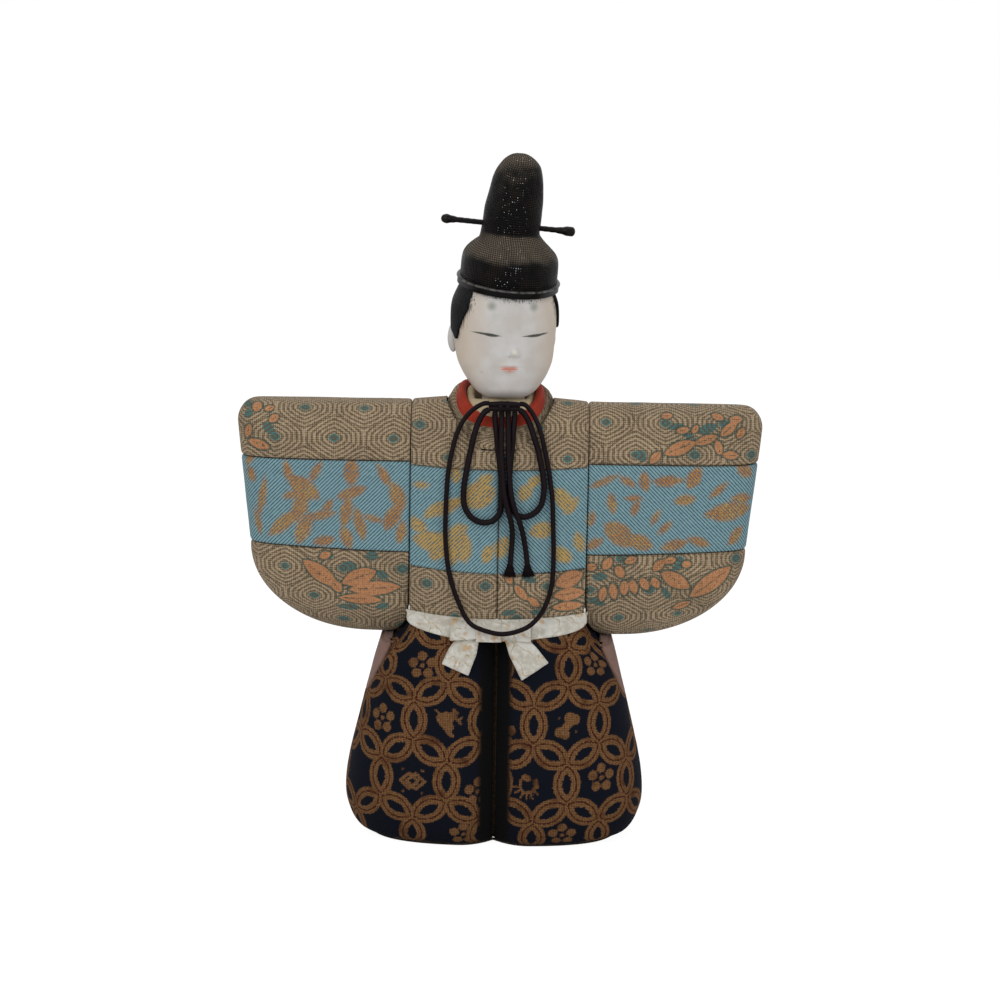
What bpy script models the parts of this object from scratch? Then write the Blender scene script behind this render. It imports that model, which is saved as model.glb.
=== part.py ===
"""Standing court doll in the tucked-cloth manner: moulded cores under cloth panels.

Metres, +Z up, the doll faces -Y and stands on its base cloth at z = 0.
Each core is a form, a function from a place on the surface to a point, with an
inset that steps inwards. A cloth panel is the layer between the form and one
cloth thickness inside it, and the core is the same form one clearance deeper.
"""

import math

import bmesh
import bpy
from mathutils import Matrix, Vector

# Cloth and clearances
CLEARANCE = 0.0003
CLOTH = 0.0008
TUCK = 0.0006
ROLL = 0.0008
ROLL_DROP = 0.0004
CUT_OVERRUN = 0.02

# Robe body
ROBE_MIDDLE = 0.117
SHOULDER = 0.1593
NECK_RISE = 0.002
SEAM_X = 0.0318
SEAM_DEPTH = 0.0165
CHEST_BULGE = 0.0045
BACK_BULGE = 0.0025
WAIST_SPREAD = 0.0025
CHEST_SEAM = 0.137
CHEST_SEAM_CURVE = 0.001
SKIRT_SEAM = 0.0999
SKIRT_SEAM_CURVE = 0.0017
HEM = 0.0834
HEM_CURVE = 0.0016
CENTRE_ROUNDNESS = 2.3
SEAM_ROUNDNESS = 2.9

# Sleeves
SLEEVE_BOTTOM = 0.0746
SLEEVE_DEPTH = 0.0162
SLEEVE_REACH = 0.0952
ELBOW = 0.1066
ELBOW_REACH = 0.0895
ELBOW_CENTRE_X = 0.044
SLEEVE_CORNER = 0.0086
ARMPIT_RADIUS = 0.0094
ARMPIT = SLEEVE_BOTTOM + ARMPIT_RADIUS
SLEEVE_TIP_ROUNDNESS = 4.0
CUFF_SEAM = 0.1391
CUFF_LOW_SEAM = 0.1062
CUFF_LOW_SEAM_RISE = 0.0016

# Trousers
TROUSER_HALF_WIDTH = 0.0545
TROUSER_FRONT_DEPTH = 0.0315
TROUSER_BACK_DEPTH = 0.029
TROUSER_ROUNDNESS = 2.6
WAIST_ROUNDNESS = 6.0
WAIST_START = 0.060
TROUSER_EASE = 0.0008
PLEAT_DEPTH = 0.0075
BACK_PLEAT_DEPTH = 0.004
PLEAT_REACH = 0.014
CREASE_START = 0.052
CREASE_SHARE = 0.90
BASE_CLOTH = 0.001
BASE_MARGIN = 0.0018
WIDTH_SHARES = (
    (0.0, 0.80), (0.045, 0.914), (0.14, 0.982), (0.23, 1.0), (0.37, 0.98),
    (0.58, 0.914), (0.82, 0.833), (1.0, 0.765),
)
DEPTH_SHARES = (
    (0.0, 0.74), (0.045, 0.87), (0.14, 0.965), (0.23, 1.0), (0.37, 0.985),
    (0.58, 0.92), (0.82, 0.84), (1.0, 0.79),
)

# Sash
SASH_CENTRE_DROP = 0.0067
SASH_END_DROP = 0.0026
TROUSER_HEIGHT = HEM - SASH_CENTRE_DROP
SASH_PROUD = 0.0009
SASH_HALF_LENGTH = 0.0312

# Dowels
DOWEL_RADIUS = 0.004
WAIST_DOWEL_LENGTH = 0.022
SLEEVE_DOWEL_LENGTH = 0.020
SLEEVE_DOWEL_HEIGHT = 0.122
DOWEL_SIDES = 16

# Bow of the sash
BOW_KNOT_CENTRE = -0.0028
BOW_KNOT_WIDTH = 0.0092
BOW_KNOT_THICK = 0.0026
BOW_LEFT_LOOP = 0.0092
BOW_RIGHT_LOOP = 0.0105
BOW_LOOP_THICK = 0.0018
BOW_FLARE = 0.12
BOW_MARGIN = 0.0005
BOW_TAIL_WIDTH = 0.0094
BOW_LEFT_TAIL = ((-0.0100, 0.0768), (-0.0148, 0.0656))
BOW_RIGHT_TAIL = ((0.0066, 0.0768), (0.0142, 0.0654))
BOW_COLUMN_SHARES = (0.0, 0.12, 0.37, 0.63, 0.88, 1.0)
BOW_ROW_SHARES = (0.0, 0.15, 0.5, 0.85, 1.0)
BOW_TAIL_ROW_SHARES = (1.0, 0.95, 0.66, 0.33, 0.05, 0.0)
BOW_TAIL_COLUMN_SHARES = (-1.0, -0.75, -0.25, 0.25, 0.75, 1.0)

# Collars: half width, reach in front, reach behind; then height in front, beside, behind
COLLAR_SEAT = 0.1521
COLLAR_SLOPE = 0.466
COLLAR_SIDES = 28
COLLAR_ROUNDNESS = 2.5
COLLAR_CLOTH = 0.0012
ROBE_COLLAR = (0.0193, 0.0176, 0.0155)
RED_COLLAR = (0.0158, 0.0143, 0.0138)
PALE_COLLAR = (0.0127, 0.0114, 0.0121)
ROBE_COLLAR_HEIGHTS = (0.0062, 0.0095, 0.0070)
RED_COLLAR_HEIGHTS = (0.0105, 0.0118, 0.0075)
PALE_COLLAR_HEIGHTS = (0.0115, 0.0090, 0.0075)
ROBE_COLLAR_LEAN = 0.0022
RED_COLLAR_LEAN = 0.0016
PALE_COLLAR_LEAN = 0.0008

# Head, on its turning axis
HEAD_X = 0.001
HEAD_YAW = math.radians(8.0)
CHIN = 0.162
HEAD_HEIGHT = 0.0535
HEAD_HALF_WIDTH = 0.0184
FACE_DEPTH = 0.0177
NAPE_DEPTH = 0.0197
HEAD_ROUNDNESS = 2.25
NOSE_LENGTH = 0.0024
NOSE_HALF_WIDTH = 0.0042
JAW_FORWARD = 0.0045
JAW_SHARES = ((0.0, 1.0), (0.09, 0.95), (0.2, 0.5), (0.33, 0.0), (1.0, 0.0))
NECK_RADIUS = 0.0078
NECK_BOTTOM = 0.1473
NECK_PEG_RADIUS = 0.003
NECK_PEG_BOTTOM = 0.1183
NECK_PEG_TOP = 0.173
EAR_SINK = 0.0002
EAR_BACK = 0.001
EAR_SHARE = 0.36449
EAR_LEAN = math.radians(-12.0)
EAR_THICK = 0.0014
EAR_WIDTH = 0.0062
EAR_LENGTH = 0.0105
HEAD_ANGLE_DEGREES = (0, 8, 18, 35, 55, 72, 90, 118, 138, 159, 180)
HEAD_ROW_SHARES = (
    0.004, 0.04, 0.09, 0.155, 0.22, 0.28, 0.325, 0.375, 0.46, 0.54, 0.61,
    0.68, 0.74, 0.80, 0.87, 0.94, 0.985, 1.0,
)
HEAD_WIDTH_SHARES = (
    (0.0, 0.425), (0.04, 0.52), (0.09, 0.63), (0.155, 0.79), (0.24, 0.925), (0.365, 0.975),
    (0.5, 1.0), (0.62, 0.975), (0.71, 0.87), (0.77, 0.775), (0.82, 0.71), (0.88, 0.57),
    (0.94, 0.39), (0.98, 0.2), (1.0, 0.05),
)
FACE_SHARES = (
    (0.0, 0.69), (0.04, 0.81), (0.09, 0.86), (0.155, 0.92), (0.24, 0.97), (0.365, 0.99),
    (0.5, 1.0), (0.62, 0.985), (0.71, 0.90), (0.77, 0.82), (0.82, 0.75), (0.88, 0.60),
    (0.94, 0.42), (0.98, 0.22), (1.0, 0.05),
)
NAPE_SHARES = (
    (0.0, 0.42), (0.04, 0.44), (0.09, 0.49), (0.155, 0.62), (0.24, 0.79), (0.365, 0.93),
    (0.5, 0.995), (0.62, 1.0), (0.71, 0.94), (0.77, 0.87), (0.82, 0.77), (0.88, 0.62),
    (0.94, 0.44), (0.98, 0.23), (1.0, 0.05),
)
NOSE_SHARES = ((0.0, 0.0), (0.22, 0.0), (0.27, 0.25), (0.31, 1.0), (0.36, 0.75), (0.46, 0.25), (0.52, 0.0), (1.0, 0.0))

# Hair
HAIR_THICK = 0.0007
HAIR_TOP = 0.1985
HAIR_EDGE = ((55, 0.1875), (118, 0.1875), (138, 0.180), (159, 0.1735), (180, 0.1735))
HAIR_FRONT_DEGREES = 55
HAIR_ROW_SHARES = (0.0, 0.05, 0.22, 0.41, 0.6, 0.79, 0.95, 1.0)
HAIR_EASE = 0.0007

# Hat
HAT_X = 0.0019
HAT_Y = 0.001
HAT_RIM_HEIGHT = 0.2018
HAT_ROLL = math.radians(5.0)
HAT_PITCH = math.radians(8.0)
CAP_HEIGHT = 0.0165
CAP_HALF_WIDTH = 0.0174
CAP_FRONT = 0.0192
CAP_BACK = 0.0202
CAP_WALL = 0.0008
CAP_CEILING_SHARE = 0.5
CAP_SIDES = 24
CAP_ROW_SHARES = (0.0, 0.3, 0.55, 0.68, 0.8, 0.9, 1.0)
CAP_SHARES = ((0.0, 1.0), (0.3, 1.0), (0.55, 0.985), (0.68, 0.94), (0.8, 0.84), (0.9, 0.73), (1.0, 0.64))
RIM_THICK = 0.0007
RIM_TALL = 0.0018
CROWN_HALF_WIDTH = 0.0107
CROWN_DEPTH = 0.0102
CROWN_HEIGHT = 0.0292
CROWN_SIDES = 18
CROWN_BEND_SHARE = 0.4
HAT_CROWN_SHIFT = -0.0011
HAT_CROWN_BACK = 0.002
CROWN_SHARES = (
    (0.0, 1.0), (0.07, 0.985), (0.16, 0.98), (0.3, 0.985), (0.44, 0.98), (0.57, 0.945),
    (0.7, 0.87), (0.82, 0.73), (0.92, 0.53), (0.98, 0.3), (1.0, 0.12),
)
PIN_RADIUS = 0.00125
PIN_HALF_LENGTH = 0.0222
PIN_HEIGHT = 0.0036
PIN_SHIFT = -0.001
PIN_SIDES = 12
PIN_SHARES = (
    (-1.0, 0.5), (-0.985, 1.15), (-0.94, 1.5), (-0.87, 1.45), (-0.78, 1.0),
    (0.78, 1.0), (0.87, 1.45), (0.94, 1.5), (0.985, 1.15), (1.0, 0.5),
)

# Cord: routes of the tied strands, from the throat knot and back to it
GREAT_LOOP_DIAMETER = 0.0018
BOW_CORD_DIAMETER = 0.0022
TAIL_CORD_DIAMETER = 0.0020
CORD_STEP_SHARE = 3.0
KNOT_CENTRE = (0.0014, -0.0156, 0.1594)
KNOT_SIZE = (0.0096, 0.0044, 0.0044)
KNOT_ROUND = 0.0012
TUFT_LENGTH = 0.0032
TUFT_SPREAD = 0.0016
TUFT_MIDDLE_SHARE = 0.55
TUFT_SIDES = 10
ROUTE_PIECES = 12

# Row and column shares of the panels
EVEN_ROW_SHARES = (0.0, 0.34, 0.67, 1.0)
SHOULDER_ROW_SHARES = (0.0, 0.28, 0.52, 0.72, 0.86, 0.95, 0.99, 1.0)
UNDERARM_ROW_SHARES = (0.0, 0.012, 0.055, 0.14, 0.27, 0.45, 0.72, 1.0)
TROUSER_ROW_SHARES = (0.02, 0.05, 0.09, 0.15, 0.23, 0.34, 0.46, 0.58, 0.67, 0.68, 0.72, 0.78, 0.85, 0.93, 0.98, 1.0)
SIDE_PANEL_ROW_SHARES = (0.68, 0.72, 0.78, 0.85, 0.93, 0.98)
SIDE_PANEL_COLUMN_SHARES = (-1.0, -0.6, -0.3, 0.0, 0.3, 0.6, 1.0)
WAIST_ROW_SHARE = 0.78
WAIST_RING_SHARE = 0.5
HEM_RING_SHARE = 0.5
BAND_RING_SHARES = (0.33, 0.67)
BAND_COLUMNS = 5
YOKE_COLUMNS = 10
CORE_COLUMNS = 12
TROUSER_COLUMN_SHARES = (0.0, 0.07, 0.15, 0.26, 0.4, 0.55, 0.7, 0.82, 0.91, 0.965, 0.99, 0.998, 1.0)
SLEEVE_TURN_SHARES = (0.0, 0.12, 0.26, 0.42, 0.6, 0.8, 1.0)

GREAT_LOOP_ROUTE = (
    (-0.0040, -0.0156, 0.1605),
    (-0.0064, -0.0158, 0.1602),
    (-0.0099, -0.0158, 0.1580),
    (-0.0130, -0.0161, 0.1543),
    (-0.0154, -0.0170, 0.1493),
    (-0.0171, -0.0187, 0.1425),
    (-0.0182, -0.0198, 0.1355),
    (-0.0187, -0.0205, 0.1260),
    (-0.0188, -0.0208, 0.1136),
    (-0.0178, -0.0214, 0.1030),
    (-0.0160, -0.0221, 0.0955),
    (-0.0133, -0.0232, 0.0888),
    (-0.0104, -0.0287, 0.0846),
    (-0.0064, -0.0301, 0.0820),
    (0.0018, -0.0306, 0.0802),
    (0.0096, -0.0299, 0.0820),
    (0.0144, -0.0277, 0.0854),
    (0.0174, -0.0223, 0.0894),
    (0.0194, -0.0213, 0.0965),
    (0.0198, -0.0209, 0.1060),
    (0.0195, -0.0206, 0.1160),
    (0.0190, -0.0205, 0.1269),
    (0.0184, -0.0202, 0.1315),
    (0.0173, -0.0195, 0.1385),
    (0.0152, -0.0182, 0.1478),
    (0.0137, -0.0169, 0.1526),
    (0.0114, -0.0159, 0.1572),
    (0.0089, -0.0157, 0.1600),
    (0.0068, -0.0156, 0.1605),
)
BOW_LEFT_ROUTE = (
    (-0.0040, -0.0156, 0.1582),
    (-0.0057, -0.0159, 0.1572),
    (-0.0076, -0.0165, 0.1540),
    (-0.0092, -0.0181, 0.1492),
    (-0.0105, -0.0192, 0.1430),
    (-0.0116, -0.0205, 0.1370),
    (-0.0125, -0.0212, 0.1305),
    (-0.0123, -0.0216, 0.1250),
    (-0.0102, -0.0220, 0.1210),
    (-0.0068, -0.0222, 0.1189),
    (-0.0034, -0.0224, 0.1189),
    (-0.0006, -0.0224, 0.1206),
    (0.0008, -0.0223, 0.1240),
    (0.0010, -0.0219, 0.1300),
    (0.0003, -0.0207, 0.1380),
    (-0.0006, -0.0190, 0.1445),
    (-0.0013, -0.0176, 0.1507),
    (-0.0018, -0.0160, 0.1542),
    (-0.0019, -0.0156, 0.1564),
)
BOW_RIGHT_ROUTE = (
    (0.0068, -0.0156, 0.1582),
    (0.0083, -0.0159, 0.1572),
    (0.0103, -0.0165, 0.1538),
    (0.0121, -0.0182, 0.1488),
    (0.0136, -0.0187, 0.1443),
    (0.0145, -0.0196, 0.1403),
    (0.0156, -0.0204, 0.1348),
    (0.0159, -0.0209, 0.1300),
    (0.0149, -0.0213, 0.1250),
    (0.0121, -0.0218, 0.1219),
    (0.0086, -0.0221, 0.1209),
    (0.0056, -0.0222, 0.1224),
    (0.0040, -0.0221, 0.1260),
    (0.0037, -0.0218, 0.1300),
    (0.0037, -0.0207, 0.1380),
    (0.0043, -0.0190, 0.1445),
    (0.0047, -0.0176, 0.1507),
    (0.0050, -0.0160, 0.1542),
    (0.0051, -0.0156, 0.1564),
)
TAIL_LEFT_ROUTE = (
    (0.0005, -0.0158, 0.1564),
    (0.0005, -0.0172, 0.1539),
    (0.0005, -0.0194, 0.1502),
    (0.0006, -0.0213, 0.1445),
    (0.0010, -0.0229, 0.1385),
    (0.0018, -0.0241, 0.1300),
    (0.0030, -0.0245, 0.1245),
    (0.0043, -0.0244, 0.1200),
    (0.0049, -0.0232, 0.1158),
    (0.0049, -0.0226, 0.1115),
    (0.0046, -0.0228, 0.1065),
    (0.0044, -0.0230, 0.1035),
)
TAIL_RIGHT_ROUTE = (
    (0.0028, -0.0158, 0.1564),
    (0.0029, -0.0172, 0.1539),
    (0.0030, -0.0194, 0.1502),
    (0.0031, -0.0213, 0.1445),
    (0.0034, -0.0228, 0.1385),
    (0.0042, -0.0241, 0.1300),
    (0.0055, -0.0244, 0.1245),
    (0.0072, -0.0243, 0.1200),
    (0.0086, -0.0230, 0.1154),
    (0.0095, -0.0224, 0.1110),
    (0.0102, -0.0224, 0.1065),
    (0.0105, -0.0225, 0.1035),
)


def material(name, colour, roughness, metallic=0.0):
    shade = bpy.data.materials.new(name)
    shade.use_nodes = True
    shader = shade.node_tree.nodes["Principled BSDF"]
    shader.inputs["Base Color"].default_value = (*colour, 1.0)
    shader.inputs["Roughness"].default_value = roughness
    shader.inputs["Metallic"].default_value = metallic
    shade.diffuse_color = (*colour, 1.0)
    return shade


def add(name, bm, shade, smooth_angle=35.0):
    """Make one object of a finished bmesh, its faces pointing out."""
    bmesh.ops.remove_doubles(bm, verts=bm.verts, dist=1e-6)
    bmesh.ops.dissolve_degenerate(bm, edges=bm.edges, dist=1e-6)
    bmesh.ops.recalc_face_normals(bm, faces=bm.faces)
    mesh = bpy.data.meshes.new(name)
    bm.to_mesh(mesh)
    bm.free()
    mesh.shade_smooth()
    mesh.set_sharp_from_angle(angle=math.radians(smooth_angle))
    mesh.materials.append(shade)
    piece = bpy.data.objects.new(name, mesh)
    bpy.context.collection.objects.link(piece)
    return piece


def along(table, share):
    """Read a table of (place, value) shares with a smooth curve between its points."""
    share = min(max(share, table[0][0]), table[-1][0])
    count = len(table)
    spot = max(i for i in range(count - 1) if table[i][0] <= share)
    x0, y0 = table[spot]
    x1, y1 = table[spot + 1]
    slope = (y1 - y0) / (x1 - x0)
    before = table[spot - 1] if spot else table[spot]
    after = table[spot + 2] if spot + 2 < count else table[spot + 1]
    start = (y1 - before[1]) / (x1 - before[0]) if spot else slope
    end = (after[1] - y0) / (after[0] - x0) if spot + 2 < count else slope
    t = (share - x0) / (x1 - x0)
    step = x1 - x0
    return (
        y0 * (2 * t**3 - 3 * t**2 + 1)
        + y1 * (3 * t**2 - 2 * t**3)
        + step * start * (t**3 - 2 * t**2 + t)
        + step * end * (t**3 - t**2)
    )


def mix(low, high, share):
    return low + (high - low) * share


def rounded(share, power):
    """Height of a rounded end at a share of its reach, from 1 in the middle to 0."""
    return max(0.0, 1.0 - min(abs(share), 1.0) ** power) ** (1.0 / power)


def rolled(start, end, shares):
    """Places from start to end, with a narrow one at each end where the cloth rolls over."""
    step = math.copysign(ROLL, end - start)
    inner = [mix(start, end, share) for share in shares[1:-1]]
    inner = [place for place in inner if abs(place - start) > 2 * ROLL < abs(place - end) + ROLL]
    return [start, start + step, *inner, end - step, end]


def panel(name, rows, columns, place, shade, open_rows=(True, True), open_columns=(True, True), thick=CLOTH, lift=0.0):
    """Cloth over a form: place(row, column, inset) gives the form's points.

    Lift raises the whole layer off the form, and thick is the layer's thickness.
    """
    bm = bmesh.new()
    last_row, last_column = len(rows) - 1, len(columns) - 1
    bmesh.ops.create_grid(bm, x_segments=last_column, y_segments=last_row, size=1.0)
    inner = {}
    spots = {}
    for corner in list(bm.verts):
        column = round((corner.co.x + 1.0) / 2.0 * last_column)
        row = round((corner.co.y + 1.0) / 2.0 * last_row)
        spots[corner] = (row, column)
    for corner, (row, column) in spots.items():
        edge = (
            (row == 0 and open_rows[0])
            or (row == last_row and open_rows[1])
            or (column == 0 and open_columns[0])
            or (column == last_column and open_columns[1])
        )
        drop = ROLL_DROP if edge else 0.0
        inner[corner] = bm.verts.new(place(rows[row], columns[column], thick - lift))
        corner.co = place(rows[row], columns[column], drop - lift)
    for face in list(bm.faces):
        bm.faces.new([inner[corner] for corner in reversed(face.verts)])
    closed_rows = [row for row, is_open in zip((0, last_row), open_rows) if not is_open]
    for edge in [e for e in bm.edges if e.is_boundary and e.verts[0] in spots]:
        first, second = edge.verts
        row = spots[first][0]
        if row == spots[second][0] and row in closed_rows:
            continue
        bm.faces.new([first, second, inner[second], inner[first]])
    return add(name, bm, shade)


def block(name, rings, shade, smooth_angle=35.0):
    """A closed solid through a stack of rings with equal counts of points."""
    bm = bmesh.new()
    loops = []
    for ring in rings:
        corners = [bm.verts.new(point) for point in ring]
        loops.append([bm.edges.new(pair) for pair in zip(corners, corners[1:] + corners[:1])])
    for lower, upper in zip(loops, loops[1:]):
        for first, second in zip(lower, upper):
            a, b = first.verts
            c, d = second.verts
            bm.faces.new([a, b, d, c])
    for loop in (loops[0], loops[-1]):
        bmesh.ops.contextual_create(bm, geom=loop)
    return add(name, bm, shade, smooth_angle)


def cut(piece, cutter):
    """Subtract a guide solid and hide it."""
    tool = piece.modifiers.new("cut", "BOOLEAN")
    tool.operation = "DIFFERENCE"
    tool.object = cutter
    cutter.hide_render = True
    cutter.display_type = "WIRE"


def join(piece, other):
    """Fuse a guide solid to a piece and hide the guide."""
    tool = piece.modifiers.new("join", "BOOLEAN")
    tool.operation = "UNION"
    tool.object = other
    other.hide_render = True
    other.display_type = "WIRE"


def rod(name, radius, length, start, direction, shade, sides=DOWEL_SIDES):
    """A straight round rod from its start along a direction."""
    bm = bmesh.new()
    turn = Vector((0.0, 0.0, 1.0)).rotation_difference(Vector(direction)).to_matrix().to_4x4()
    place = Matrix.Translation(Vector(start) + Vector(direction).normalized() * length / 2.0) @ turn
    bmesh.ops.create_cone(
        bm, cap_ends=True, segments=sides, radius1=radius, radius2=radius, depth=length, matrix=place
    )
    return add(name, bm, shade)


for old in list(bpy.data.objects):
    bpy.data.objects.remove(old, do_unlink=True)

WOOD_PASTE = material("wood_paste", (0.42, 0.30, 0.18), 0.85)
DOWEL_WOOD = material("dowel_wood", (0.55, 0.40, 0.24), 0.7)
BROCADE = material("robe_brocade", (0.26, 0.24, 0.17), 0.8)
TWILL = material("blue_twill", (0.16, 0.32, 0.38), 0.75)
DARK_CLOTH = material("trouser_cloth", (0.03, 0.03, 0.045), 0.85)
SIDE_CLOTH = material("side_cloth", (0.20, 0.13, 0.10), 0.85)
WHITE_SILK = material("sash_silk", (0.62, 0.58, 0.48), 0.6)
RED_SILK = material("red_silk", (0.45, 0.06, 0.03), 0.7)
PALE_SILK = material("collar_silk", (0.62, 0.55, 0.42), 0.7)
BASE_PAPER = material("base_cloth", (0.12, 0.10, 0.09), 0.9)
CHALK = material("chalk_white", (0.52, 0.49, 0.46), 0.5)
HAIR_BLACK = material("hair_black", (0.012, 0.012, 0.014), 0.45)
HAT_LACQUER = material("hat_lacquer", (0.015, 0.014, 0.013), 0.3)
CORD_BRAID = material("cord_braid", (0.03, 0.02, 0.03), 0.7)
GUIDE = material("guide", (0.8, 0.8, 0.8), 1.0)


# Robe body: the torso core and its panels

def seam_height(height, curve, x):
    """A sewn line across the body, higher at its ends."""
    return height + curve * (x / SEAM_X) ** 2


def ridge_height(x):
    return SHOULDER + NECK_RISE * (1.0 - (x / SEAM_X) ** 2)


def torso_point(facing, x, height, inset):
    """Facing is -1 in front and 1 behind."""
    share = min(abs(x) / SEAM_X, 1.0)
    bulge = CHEST_BULGE if facing < 0 else BACK_BULGE
    depth = SEAM_DEPTH + bulge * (1.0 - share**2) - inset
    rise = (height - ROBE_MIDDLE) / (ridge_height(x) - ROBE_MIDDLE)
    if rise > 0.0:
        depth *= rounded(rise, mix(CENTRE_ROUNDNESS, SEAM_ROUNDNESS, share**2))
        height -= inset * rise
    else:
        depth -= WAIST_SPREAD * rise * (1.0 - share**2)
    return Vector((x, facing * depth, height))


def even_shares(count):
    return [i / count for i in range(count + 1)]


def torso_panel(name, facing, ends, low, high, shade):
    columns = rolled(ends[0], ends[1], even_shares(BAND_COLUMNS))
    start, end = low[0] + TUCK / 2.0, high[0] - TUCK / 2.0
    rows = [(row - start) / (end - start) for row in rolled(start, end, EVEN_ROW_SHARES)]

    def place(row, x, inset):
        bottom = seam_height(low[0], low[1], x) + TUCK / 2.0
        top = seam_height(high[0], high[1], x) - TUCK / 2.0
        return torso_point(facing, x, mix(bottom, top, row), inset)

    return panel(name, rows, columns, place, shade)


def yoke_heights(x, share):
    return mix(seam_height(CHEST_SEAM, CHEST_SEAM_CURVE, x) + TUCK / 2.0, ridge_height(x), share)


def build_robe_body():
    edge = SEAM_X - TUCK / 2.0
    skirt, chest = (SKIRT_SEAM, SKIRT_SEAM_CURVE), (CHEST_SEAM, CHEST_SEAM_CURVE)
    hem = (HEM, HEM_CURVE)
    middle = TUCK / 2.0
    torso_panel("chest_band_left", -1, (-edge, -middle), skirt, chest, TWILL)
    torso_panel("chest_band_right", -1, (middle, edge), skirt, chest, TWILL)
    torso_panel("lower_front_left", -1, (-edge, -middle), hem, skirt, BROCADE)
    torso_panel("lower_front_right", -1, (middle, edge), hem, skirt, BROCADE)
    torso_panel("back_band", 1, (-edge, edge), skirt, chest, TWILL)
    torso_panel("lower_back", 1, (-edge, edge), hem, skirt, BROCADE)

    columns = rolled(-edge, edge, even_shares(YOKE_COLUMNS))
    roll_share = ROLL / (SHOULDER - CHEST_SEAM)
    shares = [0.0, roll_share, *SHOULDER_ROW_SHARES[1:]]
    rows = [(-1, share) for share in shares] + [(1, share) for share in reversed(shares[:-1])]

    def place(row, x, inset):
        return torso_point(row[0], x, yoke_heights(x, row[1]), inset)

    yoke = panel("yoke", rows, columns, place, BROCADE)

    deep = CLOTH + CLEARANCE
    across = [mix(-SEAM_X + deep / 2.0, SEAM_X - deep / 2.0, share) for share in even_shares(CORE_COLUMNS)]
    rings = []
    hem_rows = [("hem", 0.0), ("hem", HEM_RING_SHARE)]
    band_rows = [("band", share) for share in (0.0, *BAND_RING_SHARES)]
    yoke_rows = [("yoke", share) for share in SHOULDER_ROW_SHARES]
    for part, share in hem_rows + band_rows + yoke_rows:
        ring = []
        for facing, order in ((-1, across), (1, list(reversed(across)))):
            for x in order:
                hem_here, skirt_here = seam_height(*hem, x), seam_height(*skirt, x)
                chest_here = seam_height(*chest, x)
                height = {
                    "hem": mix(hem_here, skirt_here, share),
                    "band": mix(skirt_here, chest_here, share),
                    "yoke": yoke_heights(x, share),
                }[part]
                if part == "hem" and share == 0.0:
                    height = HEM + HEM_CURVE + CLEARANCE
                ring.append(torso_point(facing, x, height, deep))
        rings.append(ring)
    core = block("torso_core", rings, WOOD_PASTE)
    return core, yoke


# Sleeves

def sleeve_start(height):
    """Where a sleeve begins beside the body; its lower inner corner is round."""
    drop = min(max(ARMPIT - height, 0.0), ARMPIT_RADIUS)
    return SEAM_X + ARMPIT_RADIUS - math.sqrt(ARMPIT_RADIUS**2 - drop**2)


def sleeve_reach(height):
    """The outline of a sleeve seen from the front."""
    if height < ELBOW:
        drop = (ELBOW - height) / (ELBOW - SLEEVE_BOTTOM)
        return ELBOW_CENTRE_X + (ELBOW_REACH - ELBOW_CENTRE_X) * rounded(drop, 2.0)
    reach = mix(ELBOW_REACH, SLEEVE_REACH, (height - ELBOW) / (SHOULDER - ELBOW))
    rise = (height - (SHOULDER - SLEEVE_CORNER)) / SLEEVE_CORNER
    if rise > 0.0:
        reach -= SLEEVE_CORNER * (1.0 - rounded(rise, 2.0))
    return reach


def sleeve_point(side, around, height, inset):
    """Around runs from -1 at the front root past 0 at the tip to 1 at the back root."""
    if height > ROBE_MIDDLE:
        rise = (height - ROBE_MIDDLE) / (SHOULDER - ROBE_MIDDLE)
        height -= inset * rise
    else:
        rise = (ROBE_MIDDLE - height) / (ROBE_MIDDLE - SLEEVE_BOTTOM)
        height += inset * rise
    start = sleeve_start(height) + TUCK / 2.0
    depth = (SLEEVE_DEPTH - inset) * rounded(rise, SEAM_ROUNDNESS)
    angle = abs(around) * math.pi / 2.0
    out = math.cos(angle) ** (2.0 / SLEEVE_TIP_ROUNDNESS) if abs(around) < 1.0 else 0.0
    deep = math.sin(angle) ** (2.0 / SLEEVE_TIP_ROUNDNESS) if around else 0.0
    x = start + (sleeve_reach(height) - inset - start) * out
    return Vector((side * x, math.copysign(depth * deep, around), height))


def low_seam(around):
    """The lower seam of a sleeve rises towards its tip."""
    out = 1.0 - abs(around) ** 4
    return CUFF_LOW_SEAM + CUFF_LOW_SEAM_RISE * out


def sleeve_turns(roll):
    """Places round a sleeve from the front root to the back root."""
    half = [1.0 - share for share in SLEEVE_TURN_SHARES[:-1]]
    if roll:
        half.insert(1, 1.0 - roll)
    return [-place for place in half] + [0.0] + list(reversed(half))


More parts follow.
